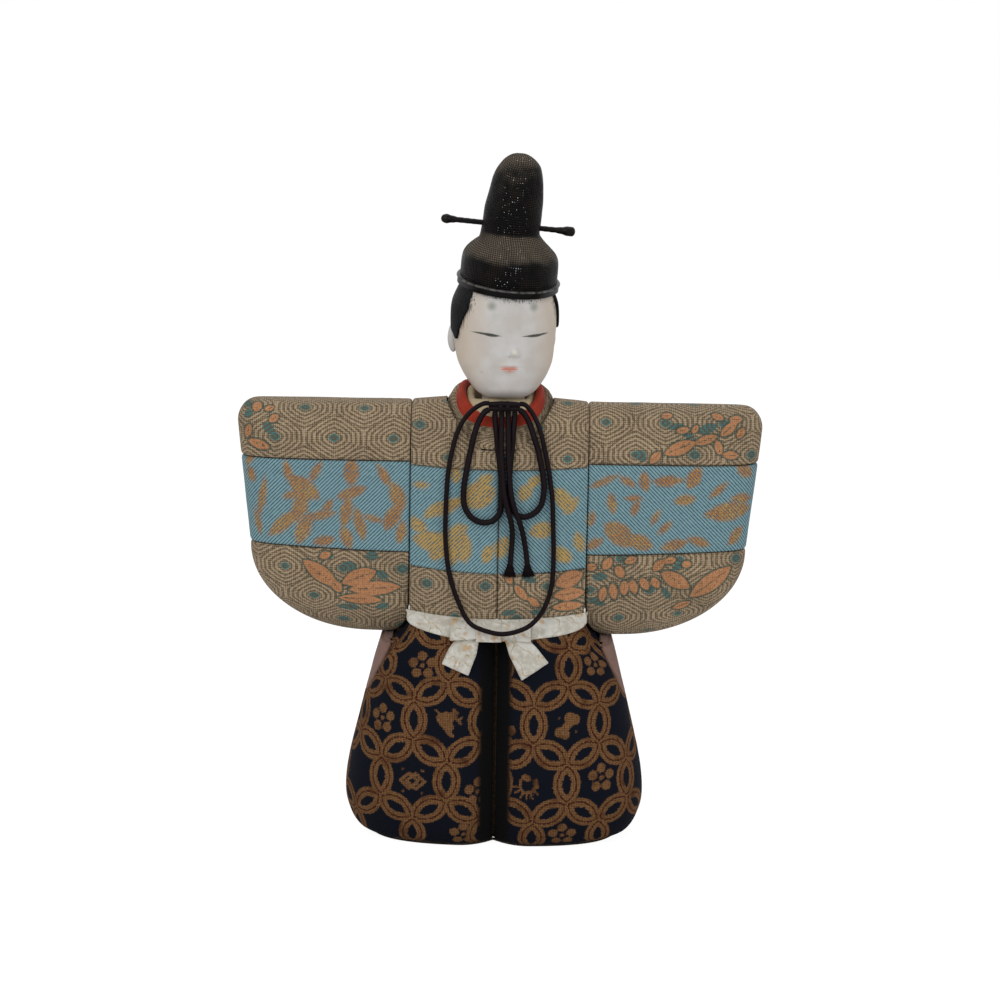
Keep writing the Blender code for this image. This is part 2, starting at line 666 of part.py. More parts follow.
def build_sleeve(side, word):
    turns = sleeve_turns(ROLL / (SLEEVE_REACH - SEAM_X))
    top_roll = ROLL / (SHOULDER - CUFF_SEAM)
    low_roll = ROLL / (CUFF_LOW_SEAM - SLEEVE_BOTTOM)

    def top_place(share, around, inset):
        return sleeve_point(side, around, mix(CUFF_SEAM + TUCK / 2.0, SHOULDER, share), inset)

    def band_place(share, around, inset):
        low = low_seam(around) + TUCK / 2.0
        return sleeve_point(side, around, mix(low, CUFF_SEAM - TUCK / 2.0, share), inset)

    def low_place(share, around, inset):
        high = low_seam(around) - TUCK / 2.0
        return sleeve_point(side, around, mix(SLEEVE_BOTTOM, high, share), inset)

    band_rows = rolled(CUFF_LOW_SEAM, CUFF_SEAM, EVEN_ROW_SHARES)
    band_shares = [(row - CUFF_LOW_SEAM) / (CUFF_SEAM - CUFF_LOW_SEAM) for row in band_rows]
    top_shares = [0.0, top_roll, *SHOULDER_ROW_SHARES[1:]]
    low_shares = [*UNDERARM_ROW_SHARES[:-1], 1.0 - low_roll, 1.0]
    panel(f"sleeve_top_{word}", top_shares, turns, top_place, BROCADE, open_rows=(True, False))
    panel(f"sleeve_band_{word}", band_shares, turns, band_place, TWILL)
    panel(f"sleeve_lower_{word}", low_shares, turns, low_place, BROCADE, open_rows=(False, True))

    deep = CLOTH + CLEARANCE
    core_turns = sleeve_turns(0.0)
    rings = []
    for part, share in (
        [(low_place, share) for share in UNDERARM_ROW_SHARES]
        + [(band_place, share) for share in BAND_RING_SHARES]
        + [(top_place, share) for share in SHOULDER_ROW_SHARES]
    ):
        rings.append([part(share, around, deep) for around in core_turns])
    return block(f"sleeve_core_{word}", rings, WOOD_PASTE)


# Trousers

def trouser_width(height):
    width = TROUSER_HALF_WIDTH * along(WIDTH_SHARES, height / SLEEVE_BOTTOM)
    if height > SLEEVE_BOTTOM - CLOTH:
        width = min(width, sleeve_start(height) - TUCK)
    return width


def trouser_roundness(height):
    """The section grows squarer towards the waist."""
    rise = (height - WAIST_START) / (ARMPIT - WAIST_START)
    return mix(TROUSER_ROUNDNESS, WAIST_ROUNDNESS, min(max(rise, 0.0), 1.0))


def trouser_point(side, facing, share, height, inset):
    """Share runs from 0 at the pleat between the legs to 1 at the side."""
    width = trouser_width(height) - inset
    depth = TROUSER_FRONT_DEPTH if facing < 0 else TROUSER_BACK_DEPTH
    pleat = PLEAT_DEPTH if facing < 0 else BACK_PLEAT_DEPTH
    depth = depth * along(DEPTH_SHARES, height / SLEEVE_BOTTOM) - inset
    x = width * share
    near = max(0.0, 1.0 - x / PLEAT_REACH)
    depth = depth * rounded(share, trouser_roundness(height)) - pleat * near**2
    return Vector((side * x, facing * depth, height))


def sash_low(x):
    """Lower edge of the sash, which dips at the centre."""
    share = (x / SASH_HALF_LENGTH) ** 2
    centre, end = HEM - SASH_CENTRE_DROP, HEM + HEM_CURVE - SASH_END_DROP
    return mix(centre, end, min(share, 1.0))


def crease_x(height):
    """The front panel's outer edge, which leaves the side of the leg and runs up to the sleeve."""
    width = trouser_width(height)
    rise = (height - CREASE_START) / (SLEEVE_BOTTOM - CREASE_START)
    return width * mix(1.0, CREASE_SHARE, rise) if 0.0 < rise < 1.0 else width


def crease_share(facing, height, gap):
    """The crease as a share of the leg's half width, moved round the leg by a gap."""
    depth = (TROUSER_FRONT_DEPTH if facing < 0 else TROUSER_BACK_DEPTH) * along(DEPTH_SHARES, height / SLEEVE_BOTTOM)
    power = trouser_roundness(height)
    reach = rounded(crease_x(height) / trouser_width(height), power) + gap / depth
    return rounded(max(reach, 0.0), power)


def leg_top(x):
    """Upper edge of a leg panel: the sash, then the sleeve's round lower corner."""
    reach = min(max(SEAM_X + ARMPIT_RADIUS - x - TUCK, 0.0), ARMPIT_RADIUS)
    return min(sash_low(x), ARMPIT - math.sqrt(ARMPIT_RADIUS**2 - reach**2)) - CLEARANCE


def leg_height(row, x):
    """Height of a panel row, which bends up towards the panel's upper edge."""
    rough = mix(BASE_CLOTH + CLEARANCE, TROUSER_HEIGHT, row)
    lift = max(0.0, (row - WAIST_ROW_SHARE) / (1.0 - WAIST_ROW_SHARE))
    return rough + (leg_top(x) - TROUSER_HEIGHT) * lift


def crease_height(row):
    return leg_height(row, trouser_width(SLEEVE_BOTTOM) * CREASE_SHARE)


def build_leg_panel(name, side, facing):
    roll_share = ROLL / TROUSER_HEIGHT
    rows = [0.0, *TROUSER_ROW_SHARES[:-1], 1.0 - roll_share, 1.0]
    shares = TROUSER_COLUMN_SHARES
    columns = [*shares[:-1], 1.0]

    def place(row, column, inset):
        height = crease_height(row)
        edge = trouser_width(height) * crease_share(facing, height, TUCK / 2.0)
        x = mix(TUCK / 2.0, edge, column)
        height = leg_height(row, x)
        share = min(x / trouser_width(height), crease_share(facing, height, TUCK / 2.0))
        return trouser_point(side, facing, share, height, inset)

    return panel(name, rows, columns, place, DARK_CLOTH)


def build_side_panel(name, side):
    def place(row, column, inset):
        height = crease_height(row)
        facing = -1 if column < 0.0 else 1
        power = trouser_roundness(height) / 2.0
        spread = math.acos(crease_share(facing, height, -TUCK / 2.0) ** power) * abs(column)
        share = math.cos(spread) ** (1.0 / power)
        return trouser_point(side, facing, share, height, inset)

    return panel(name, SIDE_PANEL_ROW_SHARES, SIDE_PANEL_COLUMN_SHARES, place, SIDE_CLOTH)


def build_trousers():
    bottom = BASE_CLOTH + CLEARANCE
    for side, word in ((-1, "left"), (1, "right")):
        build_leg_panel(f"trouser_front_{word}", side, -1)
        build_leg_panel(f"trouser_back_{word}", side, 1)
        build_side_panel(f"trouser_side_{word}", side)
    deep = CLOTH + CLEARANCE + TROUSER_EASE
    half = TROUSER_COLUMN_SHARES
    heights = [mix(bottom, TROUSER_HEIGHT, row) for row in (0.0, *TROUSER_ROW_SHARES)]
    rings = []
    waist_top = HEM + HEM_CURVE
    for height in [*heights, mix(TROUSER_HEIGHT, HEM, WAIST_RING_SHARE), HEM - CLEARANCE, waist_top]:
        ring = []
        for side, facing, shares in (
            (1, -1, half), (1, 1, half[-2:0:-1]), (-1, 1, half), (-1, -1, half[-2:0:-1])
        ):
            for share in shares:
                spot = trouser_point(side, facing, share, height, deep)
                if height > TROUSER_HEIGHT:
                    body = abs(torso_point(facing, spot.x, height, deep).y)
                    spot.y = math.copysign(min(abs(spot.y), body), spot.y)
                ring.append(spot)
        rings.append(ring)
    core = block("trouser_core", rings, WOOD_PASTE)
    rings = []
    for height in (0.0, BASE_CLOTH):
        ring = []
        for side, facing, shares in (
            (1, -1, half), (1, 1, half[-2:0:-1]), (-1, 1, half), (-1, -1, half[-2:0:-1])
        ):
            for share in shares:
                spot = trouser_point(side, facing, share, bottom, BASE_MARGIN)
                ring.append(Vector((spot.x, spot.y, height)))
        rings.append(ring)
    block("base_cloth", rings, BASE_PAPER)
    return core


# Sash: strips round the waist and the flat bow

def sash_high(x):
    return seam_height(HEM, HEM_CURVE, x) - TUCK / 2.0


def sash_depth(facing, x, height):
    """The waist's surface, which bridges the pleat between the legs and leans in to the hem."""
    depth = TROUSER_FRONT_DEPTH if facing < 0 else TROUSER_BACK_DEPTH
    share = min(abs(x) / trouser_width(TROUSER_HEIGHT), 1.0)
    legs = depth * along(DEPTH_SHARES, 1.0) * rounded(share, trouser_roundness(TROUSER_HEIGHT))
    body = abs(torso_point(facing, x, HEM + HEM_CURVE, 0.0).y)
    rise = (height - sash_low(x)) / (sash_high(x) - sash_low(x))
    return mix(max(legs, body), body, min(max(rise, 0.0), 1.0))


def build_sash_band(name, facing):
    columns = rolled(-SASH_HALF_LENGTH, SASH_HALF_LENGTH, even_shares(YOKE_COLUMNS))

    def place(row, x, inset):
        height = mix(sash_low(x), sash_high(x), row)
        return Vector((x, facing * (sash_depth(facing, x, height) - inset), height))

    panel(name, BOW_ROW_SHARES, columns, place, WHITE_SILK, thick=CLOTH + SASH_PROUD, lift=SASH_PROUD)


def build_bow_piece(name, ends, low, high, thick, slant=0.0):
    """A folded pad of silk on the sash, from one end to the other."""
    columns = [mix(ends[0], ends[1], share) for share in BOW_COLUMN_SHARES]

    def place(row, x, inset):
        share = (x - ends[0]) / (ends[1] - ends[0])
        waist = slant * (2.0 * share - 1.0)
        middle = (low + high) / 2.0
        height = middle + (mix(low, high, row) - middle) * (1.0 + waist)
        return Vector((x, -(sash_depth(-1, x, height) - inset), height))

    lift = SASH_PROUD + CLEARANCE + thick
    panel(name, BOW_ROW_SHARES, columns, place, WHITE_SILK, thick=thick, lift=lift)


def build_bow_tail(name, top, tip, half_width):
    """A flat ribbon end that lies on the trousers below the sash."""
    def place(row, column, inset):
        x = mix(top[0], tip[0], row) + half_width * column
        slope = (tip[0] - top[0]) / (top[1] - tip[1])
        height = mix(min(top[1], sash_low(x) - CLEARANCE), tip[1] + half_width * column * slope, row)
        depth = TROUSER_FRONT_DEPTH * along(DEPTH_SHARES, height / SLEEVE_BOTTOM)
        depth *= rounded(abs(x) / trouser_width(height), trouser_roundness(height))
        return Vector((x, -(depth - inset), height))

    lift = CLOTH + CLEARANCE
    panel(name, BOW_TAIL_ROW_SHARES, BOW_TAIL_COLUMN_SHARES, place, WHITE_SILK, lift=lift)


def build_sash():
    build_sash_band("sash_front", -1)
    build_sash_band("sash_back", 1)
    knot_left, knot_right = BOW_KNOT_CENTRE - BOW_KNOT_WIDTH / 2.0, BOW_KNOT_CENTRE + BOW_KNOT_WIDTH / 2.0
    low, high = HEM - SASH_CENTRE_DROP + BOW_MARGIN, HEM - BOW_MARGIN
    build_bow_piece("bow_knot", (knot_left, knot_right), low - BOW_MARGIN, high + BOW_MARGIN, BOW_KNOT_THICK)
    left_end = knot_left - CLEARANCE - BOW_LEFT_LOOP
    right_end = knot_right + CLEARANCE + BOW_RIGHT_LOOP
    build_bow_piece("bow_loop_left", (left_end, knot_left - CLEARANCE), low, high, BOW_LOOP_THICK, -BOW_FLARE)
    build_bow_piece("bow_loop_right", (knot_right + CLEARANCE, right_end), low, high, BOW_LOOP_THICK, BOW_FLARE)
    build_bow_tail("bow_tail_left", BOW_LEFT_TAIL[0], BOW_LEFT_TAIL[1], BOW_TAIL_WIDTH / 2.0)
    build_bow_tail("bow_tail_right", BOW_RIGHT_TAIL[0], BOW_RIGHT_TAIL[1], BOW_TAIL_WIDTH / 2.0)


# Collars: three nested cones in a tilted pocket at the neck

def collar_ring(width, front, back, height, lean=0.0):
    """A ring above the pocket's floor, which slopes down towards the chest; it leans in at the front."""
    ring = []
    for step in range(COLLAR_SIDES):
        angle = 2.0 * math.pi * step / COLLAR_SIDES
        across = math.copysign(abs(math.sin(angle)) ** (2.0 / COLLAR_ROUNDNESS), math.sin(angle))
        ahead = math.copysign(abs(math.cos(angle)) ** (2.0 / COLLAR_ROUNDNESS), math.cos(angle))
        inwards = lean * (ahead + 1.0) / 2.0
        y = (inwards - (front if ahead > 0.0 else back)) * ahead
        tall = height(ahead) if callable(height) else height
        ring.append(Vector(((width - inwards) * across, y, COLLAR_SEAT + y * COLLAR_SLOPE + tall)))
    return ring


def build_collar(name, sizes, heights, lean, shade):
    """A standing band; sizes are its half width and its reach in front and behind."""
    width, front, back = sizes

    def top(ahead):
        return mix(heights[1], heights[0] if ahead > 0.0 else heights[2], ahead**2)

    def shape(inset, height, lean_in):
        return collar_ring(width - inset, front - inset, back - inset, height, lean_in)

    rings = [
        shape(COLLAR_CLOTH, top, lean),
        shape(COLLAR_CLOTH, CLEARANCE, 0.0),
        shape(0.0, CLEARANCE, 0.0),
        shape(0.0, top, lean),
    ]
    bm = bmesh.new()
    loops = []
    for ring in rings:
        corners = [bm.verts.new(point) for point in ring]
        loops.append(corners)
    for first, second in zip(loops, loops[1:] + loops[:1]):
        for i in range(COLLAR_SIDES):
            j = (i + 1) % COLLAR_SIDES
            bm.faces.new([first[i], first[j], second[j], second[i]])
    return add(name, bm, shade)


def build_collars(core, yoke):
    build_collar("robe_collar", ROBE_COLLAR, ROBE_COLLAR_HEIGHTS, ROBE_COLLAR_LEAN, BROCADE)
    build_collar("red_collar", RED_COLLAR, RED_COLLAR_HEIGHTS, RED_COLLAR_LEAN, RED_SILK)
    build_collar("pale_collar", PALE_COLLAR, PALE_COLLAR_HEIGHTS, PALE_COLLAR_LEAN, PALE_SILK)
    width, front, back = (size + CLEARANCE for size in ROBE_COLLAR)
    rings = [collar_ring(width, front, back, 0.0), collar_ring(width, front, back, CUT_OVERRUN)]
    pocket = block("guide_collar_pocket", rings, GUIDE)
    cut(core, pocket)
    cut(yoke, pocket)


# Head, neck peg and hair

def head_point(angle, height, inset):
    """Angle runs from 0 at the face round by the right ear to the nape at half a turn."""
    share = (height - CHIN) / HEAD_HEIGHT
    width = HEAD_HALF_WIDTH * along(HEAD_WIDTH_SHARES, share) - inset
    sine, cosine = math.sin(angle), math.cos(angle)
    across = math.copysign(abs(sine) ** (2.0 / HEAD_ROUNDNESS), sine)
    ahead = math.copysign(abs(cosine) ** (2.0 / HEAD_ROUNDNESS), cosine)
    jaw = JAW_FORWARD * along(JAW_SHARES, share)
    if ahead > 0.0:
        reach = FACE_DEPTH * along(FACE_SHARES, share) - inset - jaw
    else:
        reach = NAPE_DEPTH * along(NAPE_SHARES, share) - inset + jaw
    nose = NOSE_LENGTH * along(NOSE_SHARES, share)
    nose *= max(0.0, 1.0 - (width * across / NOSE_HALF_WIDTH) ** 2) if ahead > 0.0 else 0.0
    return Vector((width * across, -reach * ahead - nose - jaw, height))


def head_angles():
    half = [math.radians(degrees) for degrees in HEAD_ANGLE_DEGREES]
    return half + [2.0 * math.pi - angle for angle in reversed(half[1:-1])]


def build_head():
    rings = []
    for height in (NECK_BOTTOM, CHIN - CLEARANCE):
        rings.append([
            Vector((NECK_RADIUS * math.sin(angle), -NECK_RADIUS * math.cos(angle), height))
            for angle in head_angles()
        ])
    for share in HEAD_ROW_SHARES:
        height = CHIN + HEAD_HEIGHT * share
        rings.append([head_point(angle, height, 0.0) for angle in head_angles()])
    head = block("head", rings, CHALK, 50.0)
    for side, word in ((-1, "left"), (1, "right")):
        bm = bmesh.new()
        place = (
            Matrix.Translation((side * (HEAD_HALF_WIDTH - EAR_SINK), EAR_BACK, CHIN + HEAD_HEIGHT * EAR_SHARE))
            @ Matrix.Rotation(EAR_LEAN, 4, "X")
            @ Matrix.Diagonal((EAR_THICK, EAR_WIDTH / 2.0, EAR_LENGTH / 2.0, 1.0))
        )
        bmesh.ops.create_icosphere(bm, subdivisions=2, radius=1.0, matrix=place)
        ear = add(f"guide_ear_{word}", bm, GUIDE)
        join(head, ear)
        ear.parent = head
    bore_length = NECK_PEG_TOP - NECK_BOTTOM + CLEARANCE + CUT_OVERRUN
    bore = rod(
        "guide_neck_bore", NECK_PEG_RADIUS + CLEARANCE, bore_length,
        (0.0, 0.0, NECK_BOTTOM - CUT_OVERRUN), (0.0, 0.0, 1.0), GUIDE,
    )
    cut(head, bore)
    bore.parent = head
    head.location.x = HEAD_X
    head.rotation_euler.z = HEAD_YAW
    return head


def build_hair(head):
    half = [angle for angle in HEAD_ANGLE_DEGREES if angle >= HAIR_FRONT_DEGREES]
    columns = half + [360 - angle for angle in reversed(half[:-1])]

    def place(row, degrees, inset):
        side = min(degrees, 360 - degrees)
        return head_point(math.radians(degrees), mix(along(HAIR_EDGE, side), HAIR_TOP, row), inset)

    lift = HAIR_THICK + HAIR_EASE
    hair = panel("hair", HAIR_ROW_SHARES, columns, place, HAIR_BLACK, thick=HAIR_THICK, lift=lift)
    hair.parent = head


def build_neck_peg(core):
    axis = (0.0, 0.0, 1.0)
    peg = rod("neck_peg", NECK_PEG_RADIUS, NECK_PEG_TOP - NECK_PEG_BOTTOM, (0.0, 0.0, NECK_PEG_BOTTOM), axis, DOWEL_WOOD)
    peg.location.x = HEAD_X
    bore = rod(
        "guide_peg_bore", NECK_PEG_RADIUS + CLEARANCE, NECK_BOTTOM - NECK_PEG_BOTTOM + CUT_OVERRUN,
        (HEAD_X, 0.0, NECK_PEG_BOTTOM - CLEARANCE), axis, GUIDE,
    )
    socket = rod(
        "guide_neck_socket", NECK_RADIUS + CLEARANCE, CUT_OVERRUN,
        (HEAD_X, 0.0, NECK_BOTTOM - CLEARANCE), axis, GUIDE, sides=CAP_SIDES,
    )
    cut(core, bore)
    cut(core, socket)


# Hat

def hat_frame():
    """The cap's own frame: its origin at the centre of the rim, its z along the cap's axis."""
    return (
        Matrix.Translation((HAT_X, HAT_Y, HAT_RIM_HEIGHT))
        @ Matrix.Rotation(HAT_ROLL, 4, "Y")
        @ Matrix.Rotation(HAT_PITCH, 4, "X")
    )


def crown_frame(share):
    """The crown seats flat on the cap and bends back upright as it rises."""
    bend = -HAT_PITCH * min(share / CROWN_BEND_SHARE, 1.0)
    seat = Matrix.Translation((HAT_CROWN_SHIFT, HAT_CROWN_BACK, CAP_HEIGHT + CLEARANCE))
    return hat_frame() @ seat @ Matrix.Rotation(bend, 4, "X")


def oval(frame, width, front, back, height, sides):
    ring = []
    for step in range(sides):
        angle = 2.0 * math.pi * step / sides
        reach = front if math.cos(angle) > 0.0 else back
        ring.append(frame @ Vector((width * math.sin(angle), -reach * math.cos(angle), height)))
    return ring


def cap_ring(height, inset):
    size = along(CAP_SHARES, height / CAP_HEIGHT)
    width, front, back = (reach * size - inset for reach in (CAP_HALF_WIDTH, CAP_FRONT, CAP_BACK))
    return oval(hat_frame(), width, front, back, height, CAP_SIDES)


def build_hat():
    heights = [CAP_HEIGHT * share for share in CAP_ROW_SHARES]
    top = CAP_HEIGHT - CAP_WALL
    inner = [cap_ring(height, CAP_WALL) for height in reversed(heights) if height < top - CAP_WALL]
    ceiling = [oval(hat_frame(), *(size * CAP_CEILING_SHARE for size in (CAP_HALF_WIDTH, CAP_FRONT, CAP_BACK)), top, CAP_SIDES)]
    block("hat_cap", [*ceiling, *inner, *(cap_ring(height, 0.0) for height in heights)], HAT_LACQUER, 45.0)

    bm = bmesh.new()
    profile = []
    for inset, height in ((-CLEARANCE, 0.0), (-CLEARANCE - RIM_THICK, 0.0), (-CLEARANCE - RIM_THICK, RIM_TALL), (-CLEARANCE, RIM_TALL)):
        profile.append([bm.verts.new(point) for point in cap_ring(height, inset)])
    for first, second in zip(profile, profile[1:] + profile[:1]):
        for i in range(CAP_SIDES):
            j = (i + 1) % CAP_SIDES
            bm.faces.new([first[i], first[j], second[j], second[i]])
    add("hat_rim", bm, HAT_LACQUER)

    rings = []
    for share, size in CROWN_SHARES:
        rings.append(oval(
            crown_frame(share), CROWN_HALF_WIDTH * size, CROWN_DEPTH * size, CROWN_DEPTH * size,
            CROWN_HEIGHT * share, CROWN_SIDES,
        ))
    crown = block("hat_crown", rings, HAT_LACQUER, 60.0)

    frame = crown_frame(PIN_HEIGHT / CROWN_HEIGHT) @ Matrix.Translation((PIN_SHIFT, 0.0, PIN_HEIGHT)) @ Matrix.Rotation(math.pi / 2.0, 4, "Y")
    rings = []
    for share, size in PIN_SHARES:
        radius = PIN_RADIUS * size
        rings.append(oval(frame, radius, radius, radius, PIN_HALF_LENGTH * share, PIN_SIDES))
    block("hat_pin", rings, HAT_LACQUER, 60.0)
    bore = PIN_RADIUS + CLEARANCE
    reach = CROWN_HALF_WIDTH + CUT_OVERRUN
    rings = [oval(frame, bore, bore, bore, side * reach, PIN_SIDES) for side in (-1.0, 1.0)]
    cut(crown, block("guide_pin_bore", rings, GUIDE))


# Cord

def smooth_route(route, step):
    """Evenly spaced points on a smooth curve through a route's own points."""
    points = [Vector(point) for point in route]
    padded = [2 * points[0] - points[1], *points, 2 * points[-1] - points[-2]]
    fine = []
    for a, b, c, d in zip(padded, padded[1:], padded[2:], padded[3:]):
        for i in range(ROUTE_PIECES):
            t = i / ROUTE_PIECES
            fine.append(0.5 * (2 * b + (c - a) * t + (2 * a - 5 * b + 4 * c - d) * t**2 + (3 * b - a - 3 * c + d) * t**3))
    fine.append(points[-1])
    lengths = [0.0]
    for first, second in zip(fine, fine[1:]):
        lengths.append(lengths[-1] + (second - first).length)
    count = max(2, round(lengths[-1] / step))
    even, spot = [], 0
    for i in range(count + 1):
        target = lengths[-1] * i / count
        while spot < len(fine) - 2 and lengths[spot + 1] < target:
            spot += 1
        span = lengths[spot + 1] - lengths[spot]
        even.append(fine[spot].lerp(fine[spot + 1], (target - lengths[spot]) / span))
    return even


def build_cord(name, route, diameter):
    curve = bpy.data.curves.new(name, "CURVE")
    curve.dimensions = "3D"
    curve.bevel_depth = diameter / 2.0
    curve.bevel_resolution = 2
    curve.use_fill_caps = True
    points = smooth_route(route, diameter * CORD_STEP_SHARE)
    line = curve.splines.new("POLY")
    line.points.add(len(points) - 1)
    for spot, point in zip(line.points, points):
        spot.co = (*point, 1.0)
    curve.materials.append(CORD_BRAID)
    piece = bpy.data.objects.new(name, curve)
    bpy.context.collection.objects.link(piece)
    return points


def build_tuft(name, points, diameter):
    """The brushed-out end of a tail."""
    run = (points[-1] - points[-2]).normalized()
    across = (Vector((1.0, 0.0, 0.0)) - run * run.x).normalized()
    turn = Matrix((across, run.cross(across), run)).transposed().to_4x4()
    frame = Matrix.Translation(points[-1] + run * CLEARANCE) @ turn
    radius = diameter / 2.0
    rings = [
        oval(frame, radius, radius, radius, 0.0, TUFT_SIDES),
        oval(frame, radius + TUFT_SPREAD / 2.0, radius, radius, TUFT_LENGTH * TUFT_MIDDLE_SHARE, TUFT_SIDES),
        oval(frame, radius + TUFT_SPREAD, radius, radius, TUFT_LENGTH, TUFT_SIDES),
    ]
    block(name, rings, CORD_BRAID, 50.0)


def build_knot():
    bm = bmesh.new()
    place = Matrix.Translation(KNOT_CENTRE) @ Matrix.Diagonal((*KNOT_SIZE, 1.0))
    bmesh.ops.create_cube(bm, size=1.0, matrix=place)
    bmesh.ops.bevel(bm, geom=bm.edges, offset=KNOT_ROUND, segments=2, profile=0.5, affect="EDGES")
    add("cord_knot", bm, CORD_BRAID)


def build_cords():
    build_knot()
    build_cord("cord_great_loop", GREAT_LOOP_ROUTE, GREAT_LOOP_DIAMETER)
    build_cord("cord_bow_left", BOW_LEFT_ROUTE, BOW_CORD_DIAMETER)
    build_cord("cord_bow_right", BOW_RIGHT_ROUTE, BOW_CORD_DIAMETER)
    for word, route in (("left", TAIL_LEFT_ROUTE), ("right", TAIL_RIGHT_ROUTE)):
        points = build_cord(f"cord_tail_{word}", route, TAIL_CORD_DIAMETER)
        build_tuft(f"cord_tuft_{word}", points, TAIL_CORD_DIAMETER)


# Dowels between the cores

def build_dowels(trousers, torso, sleeves):
    waist_top = HEM + HEM_CURVE + CLEARANCE / 2.0
    start = waist_top - WAIST_DOWEL_LENGTH / 2.0
    rod("waist_dowel", DOWEL_RADIUS, WAIST_DOWEL_LENGTH, (0.0, 0.0, start), (0.0, 0.0, 1.0), DOWEL_WOOD)
    bore = rod(
        "guide_waist_bore", DOWEL_RADIUS + CLEARANCE, WAIST_DOWEL_LENGTH + 2.0 * CLEARANCE,
        (0.0, 0.0, start - CLEARANCE), (0.0, 0.0, 1.0), GUIDE,
    )
    cut(trousers, bore)
    cut(torso, bore)
    for side, word in ((-1, "left"), (1, "right")):
        start = Vector((side * (SEAM_X - SLEEVE_DOWEL_LENGTH / 2.0), 0.0, SLEEVE_DOWEL_HEIGHT))
        run = Vector((side, 0.0, 0.0))
        rod(f"sleeve_dowel_{word}", DOWEL_RADIUS, SLEEVE_DOWEL_LENGTH, start, run, DOWEL_WOOD)
        bore = rod(
            f"guide_sleeve_bore_{word}", DOWEL_RADIUS + CLEARANCE,
            SLEEVE_DOWEL_LENGTH + 2.0 * CLEARANCE, start - run * CLEARANCE, run, GUIDE,
        )
        cut(torso, bore)
        cut(sleeves[side], bore)


torso_core, robe_yoke = build_robe_body()
sleeve_cores = {side: build_sleeve(side, word) for side, word in ((-1, "left"), (1, "right"))}
trouser_core = build_trousers()
build_sash()
build_collars(torso_core, robe_yoke)
build_neck_peg(torso_core)
build_dowels(trouser_core, torso_core, sleeve_cores)
doll_head = build_head()
build_hair(doll_head)
build_hat()
build_cords()
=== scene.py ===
"""Looks of the standing court doll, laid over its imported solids.

Each cloth panel is the core's own form again with a finer net of points, its
borders tucked into the grooves. Woven and printed patterns come from shader
arithmetic on each panel's own flat measure of the cloth, and drawn motifs from
their distance, worked out at each point.
"""

import math

import bmesh
import bpy
import numpy as np
from mathutils import Matrix, Vector, noise


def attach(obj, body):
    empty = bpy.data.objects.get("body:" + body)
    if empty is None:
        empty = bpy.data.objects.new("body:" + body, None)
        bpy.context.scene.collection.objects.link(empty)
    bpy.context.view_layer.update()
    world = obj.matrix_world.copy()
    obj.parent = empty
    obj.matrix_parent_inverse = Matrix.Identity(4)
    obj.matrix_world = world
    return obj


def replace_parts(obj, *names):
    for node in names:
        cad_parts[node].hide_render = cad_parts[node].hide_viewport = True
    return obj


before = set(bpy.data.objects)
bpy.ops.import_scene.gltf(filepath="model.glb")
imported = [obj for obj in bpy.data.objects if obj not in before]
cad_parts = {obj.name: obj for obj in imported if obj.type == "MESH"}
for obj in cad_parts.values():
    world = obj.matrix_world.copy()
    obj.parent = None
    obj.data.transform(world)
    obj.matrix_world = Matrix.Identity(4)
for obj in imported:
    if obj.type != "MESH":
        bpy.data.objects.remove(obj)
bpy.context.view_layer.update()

# Camera, backdrop and light
# The photograph looks down a little at the doll from straight ahead, and its
# picture is turned about one degree. The backdrop is white.
CAMERA_AIM = (0.0004, 0.0, 0.1230)
CAMERA_DISTANCE = 1.0
CAMERA_RISE = math.radians(10.0)
CAMERA_ROLL = math.radians(1.0)
CAMERA_LENS = 99.4
CAMERA_SENSOR = 36.0
CAMERA_NEAR = 0.01
FLOOR_SIZE = 6.0
FLOOR_GLOW_SHARE = 0.8
FLOOR_GLOW = 1.18
SURROUND_LIGHT = 0.42


def srgb(red, green, blue):
    """Linear colour of an sRGB triple from 0 to 255."""
    def curve(value):
        share = value / 255.0
        return share / 12.92 if share <= 0.04045 else ((share + 0.055) / 1.055) ** 2.4
    return (curve(red), curve(green), curve(blue), 1.0)


class Wire:
    """A value that runs through a material's tree; plain arithmetic on it adds Math nodes."""

    def __init__(self, tree, socket):
        self.tree = tree
        self.socket = socket

    def into(self, socket):
        self.tree.links.new(self.socket, socket)

    def calc(self, operation, *others):
        return math_node(self.tree, operation, self, *others)

    def __add__(self, other):
        return self.calc("ADD", other)

    def __sub__(self, other):
        return self.calc("SUBTRACT", other)

    def __mul__(self, other):
        return self.calc("MULTIPLY", other)

    def __truediv__(self, other):
        return self.calc("DIVIDE", other)

    def __rtruediv__(self, other):
        return math_node(self.tree, "DIVIDE", other, self)

    def __pow__(self, other):
        return self.calc("POWER", other)

    def __abs__(self):
        return self.calc("ABSOLUTE")


def plug(socket, value):
    """Give a socket a wire, or a number or colour of its own."""
    if isinstance(value, Wire):
        value.into(socket)
    else:
        socket.default_value = value


def math_node(tree, operation, *values):
    node = tree.nodes.new("ShaderNodeMath")
    node.operation = operation
    for socket, value in zip(node.inputs, values):
        plug(socket, value)
    return Wire(tree, node.outputs[0])


def place_camera():
    lens = bpy.data.cameras.new("camera")
    lens.lens = CAMERA_LENS
    lens.sensor_width = CAMERA_SENSOR
    lens.clip_start = CAMERA_NEAR
    camera = bpy.data.objects.new("camera", lens)
    bpy.context.collection.objects.link(camera)
    back = Vector((0.0, -math.cos(CAMERA_RISE), math.sin(CAMERA_RISE)))
    camera.location = Vector(CAMERA_AIM) + back * CAMERA_DISTANCE
    turn = (-back).to_track_quat("-Z", "Y").to_matrix()
    camera.rotation_euler = (turn @ Matrix.Rotation(CAMERA_ROLL, 3, "Z")).to_euler()
    bpy.context.scene.camera = camera


